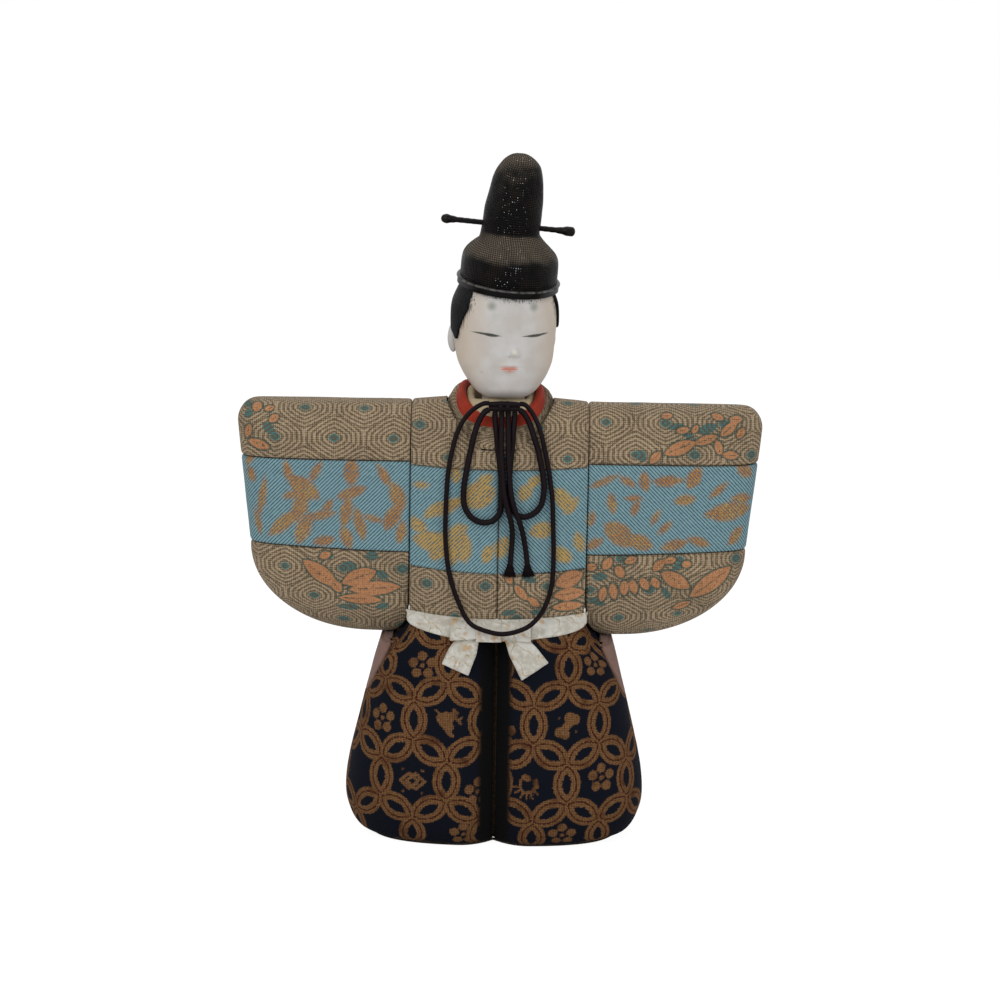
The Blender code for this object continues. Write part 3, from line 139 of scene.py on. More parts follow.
def place_light(name, place, size, power):
    """A square soft box that faces the middle of the doll."""
    lamp = bpy.data.lights.new(name, "AREA")
    lamp.size = size
    lamp.energy = power
    light = bpy.data.objects.new(name, lamp)
    bpy.context.collection.objects.link(light)
    light.location = place
    light.rotation_euler = (Vector(CAMERA_AIM) - Vector(place)).to_track_quat("-Z", "Y").to_euler()


def place_stage():
    """A white floor that keeps a faint shadow, inside a white surround."""
    bm = bmesh.new()
    bmesh.ops.create_grid(bm, x_segments=1, y_segments=1, size=FLOOR_SIZE / 2.0)
    mesh = bpy.data.meshes.new("floor")
    bm.to_mesh(mesh)
    bm.free()
    floor = bpy.data.objects.new("floor", mesh)
    bpy.context.collection.objects.link(floor)
    shade = bpy.data.materials.new("floor")
    shade.use_nodes = True
    tree = shade.node_tree
    shader = tree.nodes["Principled BSDF"]
    shader.inputs["Base Color"].default_value = (0.9, 0.9, 0.9, 1.0)
    shader.inputs["Roughness"].default_value = 0.9
    shader.inputs["Specular IOR Level"].default_value = 0.0
    glow = tree.nodes.new("ShaderNodeEmission")
    glow.inputs["Strength"].default_value = FLOOR_GLOW
    paths = tree.nodes.new("ShaderNodeLightPath")
    share = tree.nodes.new("ShaderNodeMapRange")
    share.inputs["To Max"].default_value = FLOOR_GLOW_SHARE
    both = tree.nodes.new("ShaderNodeMixShader")
    tree.links.new(paths.outputs["Is Camera Ray"], share.inputs["Value"])
    tree.links.new(share.outputs["Result"], both.inputs["Fac"])
    tree.links.new(shader.outputs["BSDF"], both.inputs[1])
    tree.links.new(glow.outputs["Emission"], both.inputs[2])
    tree.links.new(both.outputs["Shader"], tree.nodes["Material Output"].inputs["Surface"])
    mesh.materials.append(shade)

    world = bpy.data.worlds.new("surround")
    bpy.context.scene.world = world
    world.use_nodes = True
    tree = world.node_tree
    back = tree.nodes["Background"]
    paths = tree.nodes.new("ShaderNodeLightPath")
    kinds = ("Camera", "Glossy", "Transmission")
    camera, glossy, through = (Wire(tree, paths.outputs[f"Is {kind} Ray"]) for kind in kinds)
    level = tree.nodes.new("ShaderNodeMapRange")
    level.inputs["To Min"].default_value = SURROUND_LIGHT
    camera.calc("MAXIMUM", glossy).calc("MAXIMUM", through).into(level.inputs["Value"])
    tree.links.new(level.outputs["Result"], back.inputs["Strength"])
    back.inputs["Color"].default_value = (1.0, 1.0, 1.0, 1.0)


place_camera()
place_stage()
place_light("key_light", (-0.55, -0.95, 0.85), 0.7, 5.0)
place_light("fill_light", (0.75, -0.80, 0.45), 0.8, 2.6)
place_light("top_light", (0.0, 0.15, 1.3), 0.9, 4.0)
bpy.context.scene.view_settings.view_transform = "Standard"

# Cord
# A round braid of dark silk, tied at the throat in one great loop, a bow of two
# loops and two tails, each tail brushed out below its end.
GREAT_LOOP_DIAMETER = 0.0018
BOW_CORD_DIAMETER = 0.0022
TAIL_CORD_DIAMETER = 0.0020
GREAT_LOOP_LENGTH = 0.198
BOW_LEFT_LENGTH = 0.089
BOW_RIGHT_LENGTH = 0.083
TAIL_LEFT_LENGTH = 0.055
TAIL_RIGHT_LENGTH = 0.056
CORD_RING_STEP = 0.0004
CORD_RING_SIDES = 16
ROUTE_PIECES = 12
BRAID_STRANDS = 8
BRAID_PITCH = 0.0042
BRAID_RELIEF = 0.00010
TUFT_LENGTH = 0.0044
TUFT_SPREAD = 0.0016
TUFT_THREADS = 90
THREAD_WIDTH = 0.00026
KNOT_CENTRE = (0.0014, -0.0156, 0.1594)
KNOT_SIZE = (0.0096, 0.0044, 0.0044)
KNOT_STRAND_SHARES = (-0.69, -0.19, 0.29, 0.77)
CORD_FIBRE = 1.0 / 9.0
CORD_FIBRE_RELIEF = 0.00008
MILLIMETRES = 1000.0
CORD_DARK = srgb(9, 5, 7)
CORD_LIGHT = srgb(26, 15, 20)
GREAT_LOOP_ROUTE = (
    (-0.0040, -0.0156, 0.1605), (-0.0064, -0.0158, 0.1602), (-0.0099, -0.0158, 0.1580),
    (-0.0130, -0.0161, 0.1543), (-0.0154, -0.0170, 0.1493), (-0.0171, -0.0187, 0.1425),
    (-0.0182, -0.0198, 0.1355), (-0.0187, -0.0205, 0.1260), (-0.0188, -0.0208, 0.1136),
    (-0.0178, -0.0214, 0.1030), (-0.0160, -0.0221, 0.0955), (-0.0133, -0.0232, 0.0888),
    (-0.0104, -0.0287, 0.0846), (-0.0064, -0.0301, 0.0820), (0.0018, -0.0306, 0.0802),
    (0.0096, -0.0299, 0.0820), (0.0144, -0.0277, 0.0854), (0.0174, -0.0223, 0.0894),
    (0.0194, -0.0213, 0.0965), (0.0198, -0.0209, 0.1060), (0.0195, -0.0206, 0.1160),
    (0.0190, -0.0205, 0.1269), (0.0184, -0.0202, 0.1315), (0.0173, -0.0195, 0.1385),
    (0.0152, -0.0182, 0.1478), (0.0137, -0.0169, 0.1526), (0.0114, -0.0159, 0.1572),
    (0.0089, -0.0157, 0.1600), (0.0068, -0.0156, 0.1605),
)
BOW_LEFT_ROUTE = (
    (-0.0040, -0.0156, 0.1582), (-0.0057, -0.0159, 0.1572), (-0.0076, -0.0165, 0.1540),
    (-0.0092, -0.0181, 0.1492), (-0.0105, -0.0192, 0.1430), (-0.0116, -0.0205, 0.1370),
    (-0.0125, -0.0212, 0.1305), (-0.0123, -0.0216, 0.1250), (-0.0102, -0.0220, 0.1210),
    (-0.0068, -0.0222, 0.1189), (-0.0034, -0.0224, 0.1189), (-0.0006, -0.0224, 0.1206),
    (0.0008, -0.0223, 0.1240), (0.0010, -0.0219, 0.1300), (0.0003, -0.0207, 0.1380),
    (-0.0006, -0.0190, 0.1445), (-0.0013, -0.0176, 0.1507), (-0.0018, -0.0160, 0.1542),
    (-0.0019, -0.0156, 0.1564),
)
BOW_RIGHT_ROUTE = (
    (0.0068, -0.0156, 0.1582), (0.0083, -0.0159, 0.1572), (0.0103, -0.0165, 0.1538),
    (0.0121, -0.0182, 0.1488), (0.0136, -0.0187, 0.1443), (0.0145, -0.0196, 0.1403),
    (0.0156, -0.0204, 0.1348), (0.0159, -0.0209, 0.1300), (0.0149, -0.0213, 0.1250),
    (0.0121, -0.0218, 0.1219), (0.0086, -0.0221, 0.1209), (0.0056, -0.0222, 0.1224),
    (0.0040, -0.0221, 0.1260), (0.0037, -0.0218, 0.1300), (0.0037, -0.0207, 0.1380),
    (0.0043, -0.0190, 0.1445), (0.0047, -0.0176, 0.1507), (0.0050, -0.0160, 0.1542),
    (0.0051, -0.0156, 0.1564),
)
TAIL_LEFT_ROUTE = (
    (0.0005, -0.0158, 0.1564), (0.0005, -0.0172, 0.1539), (0.0005, -0.0194, 0.1502),
    (0.0006, -0.0213, 0.1445), (0.0010, -0.0229, 0.1385), (0.0018, -0.0241, 0.1300),
    (0.0030, -0.0245, 0.1245), (0.0043, -0.0244, 0.1200), (0.0049, -0.0232, 0.1158),
    (0.0049, -0.0226, 0.1115), (0.0046, -0.0228, 0.1065), (0.0044, -0.0230, 0.1035),
)
TAIL_RIGHT_ROUTE = (
    (0.0028, -0.0158, 0.1564), (0.0029, -0.0172, 0.1539), (0.0030, -0.0194, 0.1502),
    (0.0031, -0.0213, 0.1445), (0.0034, -0.0228, 0.1385), (0.0042, -0.0241, 0.1300),
    (0.0055, -0.0244, 0.1245), (0.0072, -0.0243, 0.1200), (0.0086, -0.0230, 0.1154),
    (0.0095, -0.0224, 0.1110), (0.0102, -0.0224, 0.1065), (0.0105, -0.0225, 0.1035),
)


def step(value, low, high):
    """A smooth step from 0 at low to 1 at high."""
    node = value.tree.nodes.new("ShaderNodeMapRange")
    node.interpolation_type = "SMOOTHSTEP"
    node.inputs["From Min"].default_value = low
    node.inputs["From Max"].default_value = high
    value.into(node.inputs["Value"])
    return Wire(value.tree, node.outputs["Result"])


def tint(share, low, high):
    """A colour between two others."""
    node = share.tree.nodes.new("ShaderNodeMix")
    node.data_type = "RGBA"
    share.into(node.inputs["Factor"])
    plug(node.inputs[6], low)
    plug(node.inputs[7], high)
    return Wire(share.tree, node.outputs[2])


def attribute(tree, name):
    node = tree.nodes.new("ShaderNodeAttribute")
    node.attribute_name = name
    return Wire(tree, node.outputs["Fac"])


def effect(name, sockets, results):
    """A shader node group with number sockets, ready to be filled."""
    group = bpy.data.node_groups.new(name, "ShaderNodeTree")
    for key in sockets:
        group.interface.new_socket(key, in_out="INPUT", socket_type="NodeSocketFloat")
    for key in results:
        group.interface.new_socket(key, in_out="OUTPUT", socket_type="NodeSocketFloat")
    given = [Wire(group, socket) for socket in group.nodes.new("NodeGroupInput").outputs]
    return group, given, group.nodes.new("NodeGroupOutput").inputs


def place_effect(tree, group, *values):
    """The group in a material's tree, with a number or a wire for each input."""
    node = tree.nodes.new("ShaderNodeGroup")
    node.node_tree = group
    for socket, value in zip(node.inputs, values):
        plug(socket, value)
    return [Wire(tree, socket) for socket in node.outputs]


def fleck_effect():
    """Patches from 0 to 1, of a size in millimetres, that lie still on the piece."""
    group, given, out = effect("flecks", ("Size", "Detail"), ("Level",))
    place = group.nodes.new("ShaderNodeTexCoord")
    patches = group.nodes.new("ShaderNodeTexNoise")
    group.links.new(place.outputs["Object"], patches.inputs["Vector"])
    (MILLIMETRES / given[0]).into(patches.inputs["Scale"])
    given[1].into(patches.inputs["Detail"])
    group.links.new(patches.outputs["Fac"], out[0])
    return group


FLECKS = fleck_effect()


def bump(shader, height, distance, strength):
    tree = height.tree
    node = tree.nodes.new("ShaderNodeBump")
    node.inputs["Distance"].default_value = distance
    node.inputs["Strength"].default_value = strength
    height.into(node.inputs["Height"])
    tree.links.new(node.outputs["Normal"], shader.inputs["Normal"])


def new_shade(name, roughness, sheen=0.0, specular=0.08):
    shade = bpy.data.materials.new(name)
    shade.use_nodes = True
    tree = shade.node_tree
    shader = tree.nodes["Principled BSDF"]
    shader.inputs["Roughness"].default_value = roughness
    shader.inputs["Specular IOR Level"].default_value = specular
    if sheen:
        shader.inputs["Sheen Weight"].default_value = sheen
        shader.inputs["Sheen Roughness"].default_value = 0.5
    return shade, tree, shader


def finish_piece(name, mesh, shade, slot, body="figure"):
    """The mesh as a smooth piece that rides on a body."""
    mesh.shade_smooth()
    mesh.materials.append(shade)
    piece = bpy.data.objects.new(name, mesh)
    bpy.context.collection.objects.link(piece)
    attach(piece, body)
    return piece


def shaped_grid(name, points, places=None, values=None, closed=False):
    """A grid bent over rows of points, with each point's place on the flat cloth.

    A closed grid is a tube whose last column lies on its first; its ends are capped.
    """
    rows, columns = points.shape[:2]
    bm = bmesh.new()
    bmesh.ops.create_grid(bm, x_segments=columns - 1, y_segments=rows - 1, size=1.0)
    mesh = bpy.data.meshes.new(name)
    bm.to_mesh(mesh)
    bm.free()
    flat = np.empty((len(mesh.vertices), 3))
    mesh.vertices.foreach_get("co", flat.ravel())
    column = np.rint((flat[:, 0] + 1.0) / 2.0 * (columns - 1)).astype(int)
    row = np.rint((flat[:, 1] + 1.0) / 2.0 * (rows - 1)).astype(int)
    mesh.vertices.foreach_set("co", points[row, column].ravel())
    if places is not None:
        corner = np.empty(len(mesh.loops), dtype=np.int32)
        mesh.loops.foreach_get("vertex_index", corner)
        spots = places[row, column][corner].astype(np.float32)
        mesh.uv_layers.new(name="cloth").data.foreach_set("uv", spots.ravel())
    for key, data in (values or {}).items():
        layer = mesh.attributes.new(key, "FLOAT", "POINT")
        layer.data.foreach_set("value", data[row, column].astype(np.float32))
    if closed:
        bm = bmesh.new()
        bm.from_mesh(mesh)
        bmesh.ops.remove_doubles(bm, verts=bm.verts, dist=1e-7)
        bmesh.ops.holes_fill(bm, edges=[edge for edge in bm.edges if edge.is_boundary])
        bm.to_mesh(mesh)
        bm.free()
    mesh.update()
    return mesh


def smooth_route(route, spacing):
    """Evenly spaced points on a smooth curve through a route's own points."""
    points = [Vector(point) for point in route]
    padded = [2 * points[0] - points[1], *points, 2 * points[-1] - points[-2]]
    fine = []
    for a, b, c, d in zip(padded, padded[1:], padded[2:], padded[3:]):
        for i in range(ROUTE_PIECES):
            t = i / ROUTE_PIECES
            bend = (2 * a - 5 * b + 4 * c - d) * t**2 + (3 * b - a - 3 * c + d) * t**3
            fine.append(0.5 * (2 * b + (c - a) * t + bend))
    fine.append(points[-1])
    reach = np.concatenate(([0.0], np.cumsum([(b - a).length for a, b in zip(fine, fine[1:])])))
    places = np.linspace(0.0, reach[-1], max(2, round(reach[-1] / spacing)) + 1)
    flat = np.array([tuple(point) for point in fine])
    return np.stack([np.interp(places, reach, flat[:, axis]) for axis in range(3)], axis=1)


def tube_frames(points):
    """Two directions across the run at each point, carried along without a twist."""
    runs = np.gradient(points, axis=0)
    runs /= np.linalg.norm(runs, axis=1)[:, None]
    side = np.array([1.0, 0.0, 0.0]) if abs(runs[0][0]) < 0.9 else np.array([0.0, 1.0, 0.0])
    sides = []
    for run in runs:
        side = side - run * side.dot(run)
        side /= np.linalg.norm(side)
        sides.append(side)
    sides = np.array(sides)
    return sides, np.cross(runs, sides)


def braided_tube(name, route, diameter):
    """A round braid: two sets of strands cross over and under each other."""
    points = smooth_route(route, CORD_RING_STEP)
    sides, others = tube_frames(points)
    travelled = np.concatenate(([0.0], np.cumsum(np.linalg.norm(np.diff(points, axis=0), axis=1))))
    angle = np.linspace(0.0, 2.0 * math.pi, CORD_RING_SIDES + 1)[None, :]
    turn = BRAID_STRANDS / 2.0 * angle
    climb = (2.0 * math.pi * travelled / BRAID_PITCH * 2.0)[:, None]
    height = np.abs(np.cos(turn + climb) * np.cos(turn - climb))
    radius = diameter / 2.0 - BRAID_RELIEF * (1.0 - height)
    ring = np.cos(angle)[..., None] * sides[:, None] + np.sin(angle)[..., None] * others[:, None]
    places = np.stack(np.broadcast_arrays(angle * diameter / 2.0, travelled[:, None]), axis=2)
    shell = points[:, None] + radius[..., None] * ring
    return shaped_grid(name, shell, places, {"relief": height}, closed=True), points


def cord_shade():
    """Dark silk, with painted shade in the valleys between the strands and their crowns painted lighter."""
    shade, tree, shader = new_shade("cord_braid", 0.5)
    # Painted shade: the braid's valleys darker than its strand crowns; on the tufts the values are random
    # tone.
    tint(attribute(tree, "relief"), CORD_DARK, CORD_LIGHT).into(shader.inputs["Base Color"])
    threads = place_effect(tree, FLECKS, CORD_FIBRE, 2.0)[0]
    bump(shader, threads, CORD_FIBRE_RELIEF, 0.6)
    return shade


def brushed_tuft(name, points, diameter, shade):
    """Loose threads that fan out from the end of a tail."""
    run = Vector(points[-1] - points[-4]).normalized()
    across = (Vector((1.0, 0.0, 0.0)) - run * run.x).normalized()
    deep = run.cross(across)
    bm = bmesh.new()
    for i in range(TUFT_THREADS):
        reach = math.sqrt((i + 0.5) / TUFT_THREADS)
        angle = i * math.pi * (3.0 - math.sqrt(5.0))
        shift = noise.noise(Vector((i * 0.7, 3.1, 0.0)))
        out = (across * math.cos(angle) + deep * math.sin(angle)) * reach
        root = Vector(points[-1]) + out * diameter * 0.4 - run * CORD_RING_STEP
        tip = root + run * TUFT_LENGTH * (1.0 + 0.16 * shift) + out * TUFT_SPREAD
        lean = Vector((0.0, 0.0, 1.0)).rotation_difference(tip - root).to_matrix().to_4x4()
        bmesh.ops.create_cone(
            bm, cap_ends=True, segments=5, radius1=THREAD_WIDTH / 2.0, radius2=THREAD_WIDTH / 3.0,
            depth=(tip - root).length, matrix=Matrix.Translation((root + tip) / 2.0) @ lean,
        )
    mesh = bpy.data.meshes.new(name)
    bm.to_mesh(mesh)
    bm.free()
    relief = mesh.attributes.new("relief", "FLOAT", "POINT")
    heights = [0.5 + 0.5 * noise.noise(Vector((i // 10, 7.3, 0.0))) for i in range(len(mesh.vertices))]
    relief.data.foreach_set("value", heights)
    return finish_piece(name, mesh, shade, "cord_braid")


def throat_knot(shade):
    """The knot: turns of the cord drawn tight side by side, two wrapped across them."""
    centre = Vector(KNOT_CENTRE)
    half = Vector(KNOT_SIZE) / 2.0
    turns = (
        ((-1.12, 0.0, 0.30), (-0.5, -0.45, 0.46), (0.0, -0.55, 0.5), (0.5, -0.45, 0.46), (1.12, 0.0, 0.30)),
        (
            (-1.12, 0.0, -0.35), (-0.5, -0.40, -0.3), (0.0, -0.5, -0.28), (0.5, -0.40, -0.3),
            (1.12, 0.0, -0.35),
        ),
        ((-0.80, 0.35, 0.0), (0.0, 0.1, 0.1), (0.80, 0.35, 0.0)),
        ((-0.34, 0.30, -0.55), (-0.30, -0.55, -0.40), (-0.26, -0.66, 0.15), (-0.22, 0.0, 0.55)),
        *(((x, 0.1, -0.2), (x, 0.05, -0.9), (x, 0.0, -1.45)) for x in KNOT_STRAND_SHARES),
        ((0.16, 0.30, -0.55), (0.20, -0.55, -0.40), (0.26, -0.66, 0.15), (0.30, 0.0, 0.55)),
    )
    bm = bmesh.new()
    for i, line in enumerate(turns):
        route = [centre + Vector(a * b for a, b in zip(spot, half)) for spot in line]
        bm.from_mesh(braided_tube(f"knot_turn_{i + 1}", route, TAIL_CORD_DIAMETER)[0])
    mesh = bpy.data.meshes.new("throat_knot")
    bm.to_mesh(mesh)
    bm.free()
    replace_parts(finish_piece("throat_knot", mesh, shade, "cord_braid"), "cord_knot")


def tie_cord():
    shade = cord_shade()
    throat_knot(shade)
    strands = (
        ("cord_great_loop", "great_loop", GREAT_LOOP_ROUTE, GREAT_LOOP_DIAMETER, GREAT_LOOP_LENGTH),
        ("cord_bow_left", "cord_loop_left", BOW_LEFT_ROUTE, BOW_CORD_DIAMETER, BOW_LEFT_LENGTH),
        ("cord_bow_right", "cord_loop_right", BOW_RIGHT_ROUTE, BOW_CORD_DIAMETER, BOW_RIGHT_LENGTH),
        ("cord_tail_left", "cord_end_left", TAIL_LEFT_ROUTE, TAIL_CORD_DIAMETER, TAIL_LEFT_LENGTH),
        ("cord_tail_right", "cord_end_right", TAIL_RIGHT_ROUTE, TAIL_CORD_DIAMETER, TAIL_RIGHT_LENGTH),
    )
    for node, name, route, diameter, length in strands:
        mesh, points = braided_tube(name, route, diameter)
        tube = finish_piece(name, mesh, shade, "cord_braid")
        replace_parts(tube, node)
        if node.startswith("cord_tail"):
            word = node.rsplit("_", 1)[1]
            tuft = brushed_tuft(f"tuft_{word}", points, diameter, shade)
            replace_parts(tuft, f"cord_tuft_{word}")


tie_cord()

# Robe
# Wool-stuffed paste forms under brocade, with a band of pale blue twill round chest
# and sleeves. Every cloth edge is pushed into a groove cut in the form.
CLOTH = 0.0008
TUCK = 0.0006
CLEARANCE = 0.0003
TUCK_ROUND = 0.0011
CLOTH_GRID = 0.0007
WALK_STEPS = 400
WALK_SHARES = (0.5, 0.3)
EDGE_PLACES = (0.0, 0.00008, 0.00025, 0.0005, 0.0008, 0.0012)
PUCKER = 0.00010
PUCKER_WIDTH = 0.004
SWELL = 0.00025
SWELL_WIDTH = 0.022
ROBE_MIDDLE = 0.117
SHOULDER = 0.1593
NECK_RISE = 0.002
SEAM_X = 0.0318
SEAM_DEPTH = 0.0165
CHEST_BULGE = 0.0045
BACK_BULGE = 0.0025
WAIST_SPREAD = 0.0025
CHEST_SEAM = 0.137
CHEST_SEAM_CURVE = 0.001
SKIRT_SEAM = 0.0999
SKIRT_SEAM_CURVE = 0.0017
HEM = 0.0834
HEM_CURVE = 0.0016
CENTRE_ROUNDNESS = 2.3
SEAM_ROUNDNESS = 2.9
RING_CELL_WIDTH = 21.2
RING_ROW = 11.6
RING_CELL_HALF_HEIGHT = 9.1
RING_SLOPE = 6.6 / 10.6
RING_COUNT = 6.0
YOKE_RING = (-0.0288, 0.1527)
SKIRT_RING = (-0.0247, 0.0956)
LEFT_TOP_RING = (-0.0591, 0.1470)
LEFT_LOW_RING = (-0.0764, 0.1001)
RIGHT_TOP_RING = (0.0377, 0.1545)
RIGHT_LOW_RING = (0.0439, 0.0820)
BROCADE_PITCH = 0.78
BROCADE_RELIEF = 0.00012
TWILL_PITCH = 0.98
TWILL_RELIEF = 0.00016
BROCADE_GROUND = srgb(92, 80, 62)
BROCADE_RINGS = srgb(172, 151, 124)
BROCADE_TEAL = srgb(70, 118, 118)
BROCADE_TEAL_DARK = srgb(58, 74, 66)
BROCADE_LEAF = srgb(184, 132, 94)
BROCADE_LEAF_DARK = srgb(132, 92, 62)
TWILL_DARK = srgb(56, 80, 90)
TWILL_LIGHT = srgb(130, 164, 172)
TWILL_BROWN = srgb(156, 104, 64)
TWILL_GOLD = srgb(184, 154, 88)
LEAF_BRANCH = 2.2
FAR_AWAY = 9.0
BROCADE_LEAVES = (
    (-63.4, 97.7, 16.1, 5.7, -38), (-49.6, 96.7, 13.2, 6.1, 22), (-44, 92.6, 19, 5.3, 5),
    (-49.2, 88.1, 16.1, 3.9, -1), (-61.8, 104.6, 4.4, 2.8, 20), (-57.6, 92.8, 5.5, 3.4, -55),
    (-87.2, 158, 4.9, 3.6, 80), (-90.5, 148.4, 5.5, 2.8, 70), (-86.3, 143.9, 9.2, 3.2, -15),
    (-80.8, 153.5, 4.3, 2.8, 40), (-82.6, 157.5, 3.7, 2.5, 30), (26, 98, 11.2, 5.7, 20),
    (26.2, 92.6, 12.4, 4.4, 5), (8.4, 93.5, 7.7, 2.8, -50), (25.7, 88.2, 12.4, 3.2, 3),
    (4.1, 98.3, 4.1, 2.4, -60), (13.2, 90, 5.3, 2.6, -40), (64.1, 145.4, 12, 4.7, 22),
    (73.5, 148.5, 8.9, 3.2, 20), (78, 145.7, 5.6, 2.8, -75), (82.5, 142.9, 6.1, 3, -5),
    (55.4, 141.9, 5.6, 3, 50), (59.4, 157.6, 4.2, 2.8, 10), (77.6, 157.4, 5, 2.9, -30),
    (81.6, 152.4, 7.8, 3.5, 40), (84.3, 156.1, 5, 3.1, 0), (86.1, 150.8, 4.5, 2.8, 60),
    (65.1, 151.9, 5, 2.5, 10), (69.5, 152.3, 3.7, 2.1, 60), (33.6, 102, 3.7, 2.8, 0),
    (39.2, 103.3, 5, 3.3, 60), (43.7, 100.4, 5, 3.3, -60), (47.5, 104.7, 4.5, 2.7, 20),
    (57.6, 103, 5.6, 3.1, 50), (61.7, 104.9, 4.5, 2.5, 10), (67.6, 103.5, 3.6, 2.6, 0),
    (37.8, 91.9, 6.1, 2.8, 80), (41.6, 93, 6.9, 2.8, -80), (45.5, 94.3, 6.1, 3, 90),
    (48.8, 94.9, 6.2, 2.8, -75), (52.7, 96, 5.6, 3, -60), (56.6, 96.5, 5, 2.8, -60),
    (63.8, 97.4, 12.3, 5.4, -30), (76.7, 96.3, 19.5, 6.7, 38), (66.4, 86.7, 7.2, 3.1, 25),
)
TEAL_LEAVES = (
    (-53.6, 100.7, 7.4, 3.7, 10), (-60.4, 104.3, 3.7, 2.5, 0), (-45.1, 104.6, 4.9, 3.7, 0),
    (-41.3, 97.7, 5.5, 3.1, -30), (-53.5, 84.3, 9.2, 3.1, 0), (-41.2, 85.5, 5.5, 2.8, 20),
    (-90.5, 154.6, 4.3, 3.1, 60), (-82.6, 149.8, 5.5, 3.7, -40), (62.8, 153.2, 6.7, 2.8, 10),
    (73.9, 152.6, 8.4, 3.9, 20), (67.3, 149.7, 6.1, 2, -20), (50.4, 142.4, 5, 3.9, -60),
    (36.5, 98.4, 6.1, 3.3, 0), (35.6, 89, 8.4, 2.8, -20), (60.6, 92.3, 6.7, 2.8, -60),
    (64.3, 102.6, 5, 2.8, 30), (81.1, 100, 5.6, 3.3, 30), (29, 98.7, 5.3, 3, 0),
    (11.2, 98.4, 6.5, 3, -20), (15, 86.4, 7.1, 2.4, 0), (4.3, 86.2, 6.5, 2.4, 10),
)
TWILL_LEAVES = (
    (-75.3, 134.5, 8, 2.7, -70), (-65.5, 134.7, 8, 2.5, 60), (-69.7, 129, 13.5, 5.9, -35),
    (-70.9, 122.2, 12.3, 4.9, 75), (-63.6, 119.2, 10.4, 2.7, 12), (-61.1, 122.4, 5.5, 2.2, 55),
    (-77, 115.9, 14.1, 4.3, 42), (-69.7, 114.1, 11.7, 4.9, 70), (-73.4, 126.5, 7.4, 2.5, 15),
    (-52.7, 134.9, 9.2, 4.9, 90), (-52.6, 127.5, 10.4, 3.7, 20), (-54.4, 120.6, 11.1, 3.7, 80),
    (-49.5, 116.3, 11.7, 3.4, -75), (-54.3, 111.3, 8, 3.7, -70), (-62.3, 109.9, 7.4, 3.1, 10),
    (-41.1, 133.9, 8.6, 2.8, -60), (-36.1, 126.5, 10.4, 4.9, -70), (-37.8, 119, 10.4, 4.9, 60),
    (-44.6, 118.3, 6.8, 1.8, -15), (-34.7, 113.5, 8, 3.1, 80), (-89.9, 139.2, 6.8, 2.8, 60),
    (-89.6, 133, 5.5, 3.1, -70), (-85, 125, 14.1, 2.5, 80), (-86.8, 115.7, 9.2, 2.1, -75),
    (-27.6, 131, 5.5, 1.8, 0), (-15.4, 135.6, 5.5, 3.7, 90), (-17.7, 123.7, 12.3, 4.3, 30),
    (-23, 110.6, 14.7, 6.8, -10), (-15, 108.8, 11.7, 6.1, 80), (-29.2, 116.7, 5.5, 3.7, -60),
    (-14.8, 135.1, 5.3, 3, 80), (-22.3, 122.4, 10.1, 3.6, 35), (-7, 128.1, 12.4, 8.9, 20),
    (-4.8, 133.5, 6.5, 3.6, 30), (-28.1, 116.3, 7.1, 3.6, -40), (-20.3, 109.3, 11.2, 7.1, 60),
    (-12.6, 110, 12.4, 6.5, -75), (-13.9, 115.4, 7.1, 3.6, 20), (-3.1, 107.2, 6.5, 3.6, 70),
    (1.6, 109.7, 7.7, 4.1, 75), (9.4, 129.6, 6.5, 4.1, 60), (12.3, 133.2, 5.9, 3, 40),
    (23.1, 126.8, 10.1, 5.3, -50), (26, 124.5, 7.1, 3.6, 50), (15.6, 115.9, 8.9, 5.3, 10),
    (22.9, 107, 8.9, 4.7, -30), (29.3, 111.4, 7.1, 3.6, -75), (37.3, 133.2, 10.6, 1.9, 25),
    (40.3, 125.3, 7.2, 2.8, -80), (48, 127.2, 5.6, 1.9, 0), (48.7, 123.8, 5.6, 2.2, 70),
    (51.7, 133.4, 6.7, 3.3, -80), (60, 133.6, 10.6, 3.3, 5), (69.4, 134.9, 8.4, 4.5, 60),
    (66.3, 126.9, 7.2, 3.3, 10), (45.6, 133.3, 6.1, 2.2, -30), (33.2, 119.6, 5, 2.2, 80),
    (43.3, 114.1, 12.8, 7.2, -35), (50.6, 111.4, 9.5, 5, -20), (56, 120.5, 5.6, 1.7, 60),
    (59.4, 116.7, 6.1, 1.9, 45), (62.9, 110.5, 9.5, 3.3, 15), (71.8, 111.8, 7.8, 2.8, -20),
    (78.4, 130.5, 7.8, 1.9, 40), (88.2, 137.4, 7.2, 4.2, -30), (82.6, 122.7, 18.4, 6.1, 8),
    (87.4, 127.3, 8.4, 3.1, 0), (85.6, 113.7, 7.8, 3.7, 50), (34.5, 110.6, 6.1, 2.8, 30),
)


def mix(low, high, share):
    return low + (high - low) * share


def rounded(share, power):
    """Height of a rounded end at a share of its reach, from 1 in the middle to 0."""
    return max(0.0, 1.0 - min(abs(share), 1.0) ** power) ** (1.0 / power)


def seam_height(height, curve, x):
    """A sewn line across the body, higher at its ends."""
    return height + curve * (x / SEAM_X) ** 2


def ridge_height(x):
    return SHOULDER + NECK_RISE * (1.0 - (x / SEAM_X) ** 2)


def torso_point(facing, x, height):
    """Facing is -1 in front and 1 behind."""
    share = min(abs(x) / SEAM_X, 1.0)
    bulge = CHEST_BULGE if facing < 0 else BACK_BULGE
    depth = SEAM_DEPTH + bulge * (1.0 - share**2)
    rise = (height - ROBE_MIDDLE) / (ridge_height(x) - ROBE_MIDDLE)
    if rise > 0.0:
        depth *= rounded(rise, mix(CENTRE_ROUNDNESS, SEAM_ROUNDNESS, share**2))
    else:
        depth -= WAIST_SPREAD * rise * (1.0 - share**2)
    return (x, facing * depth, height)


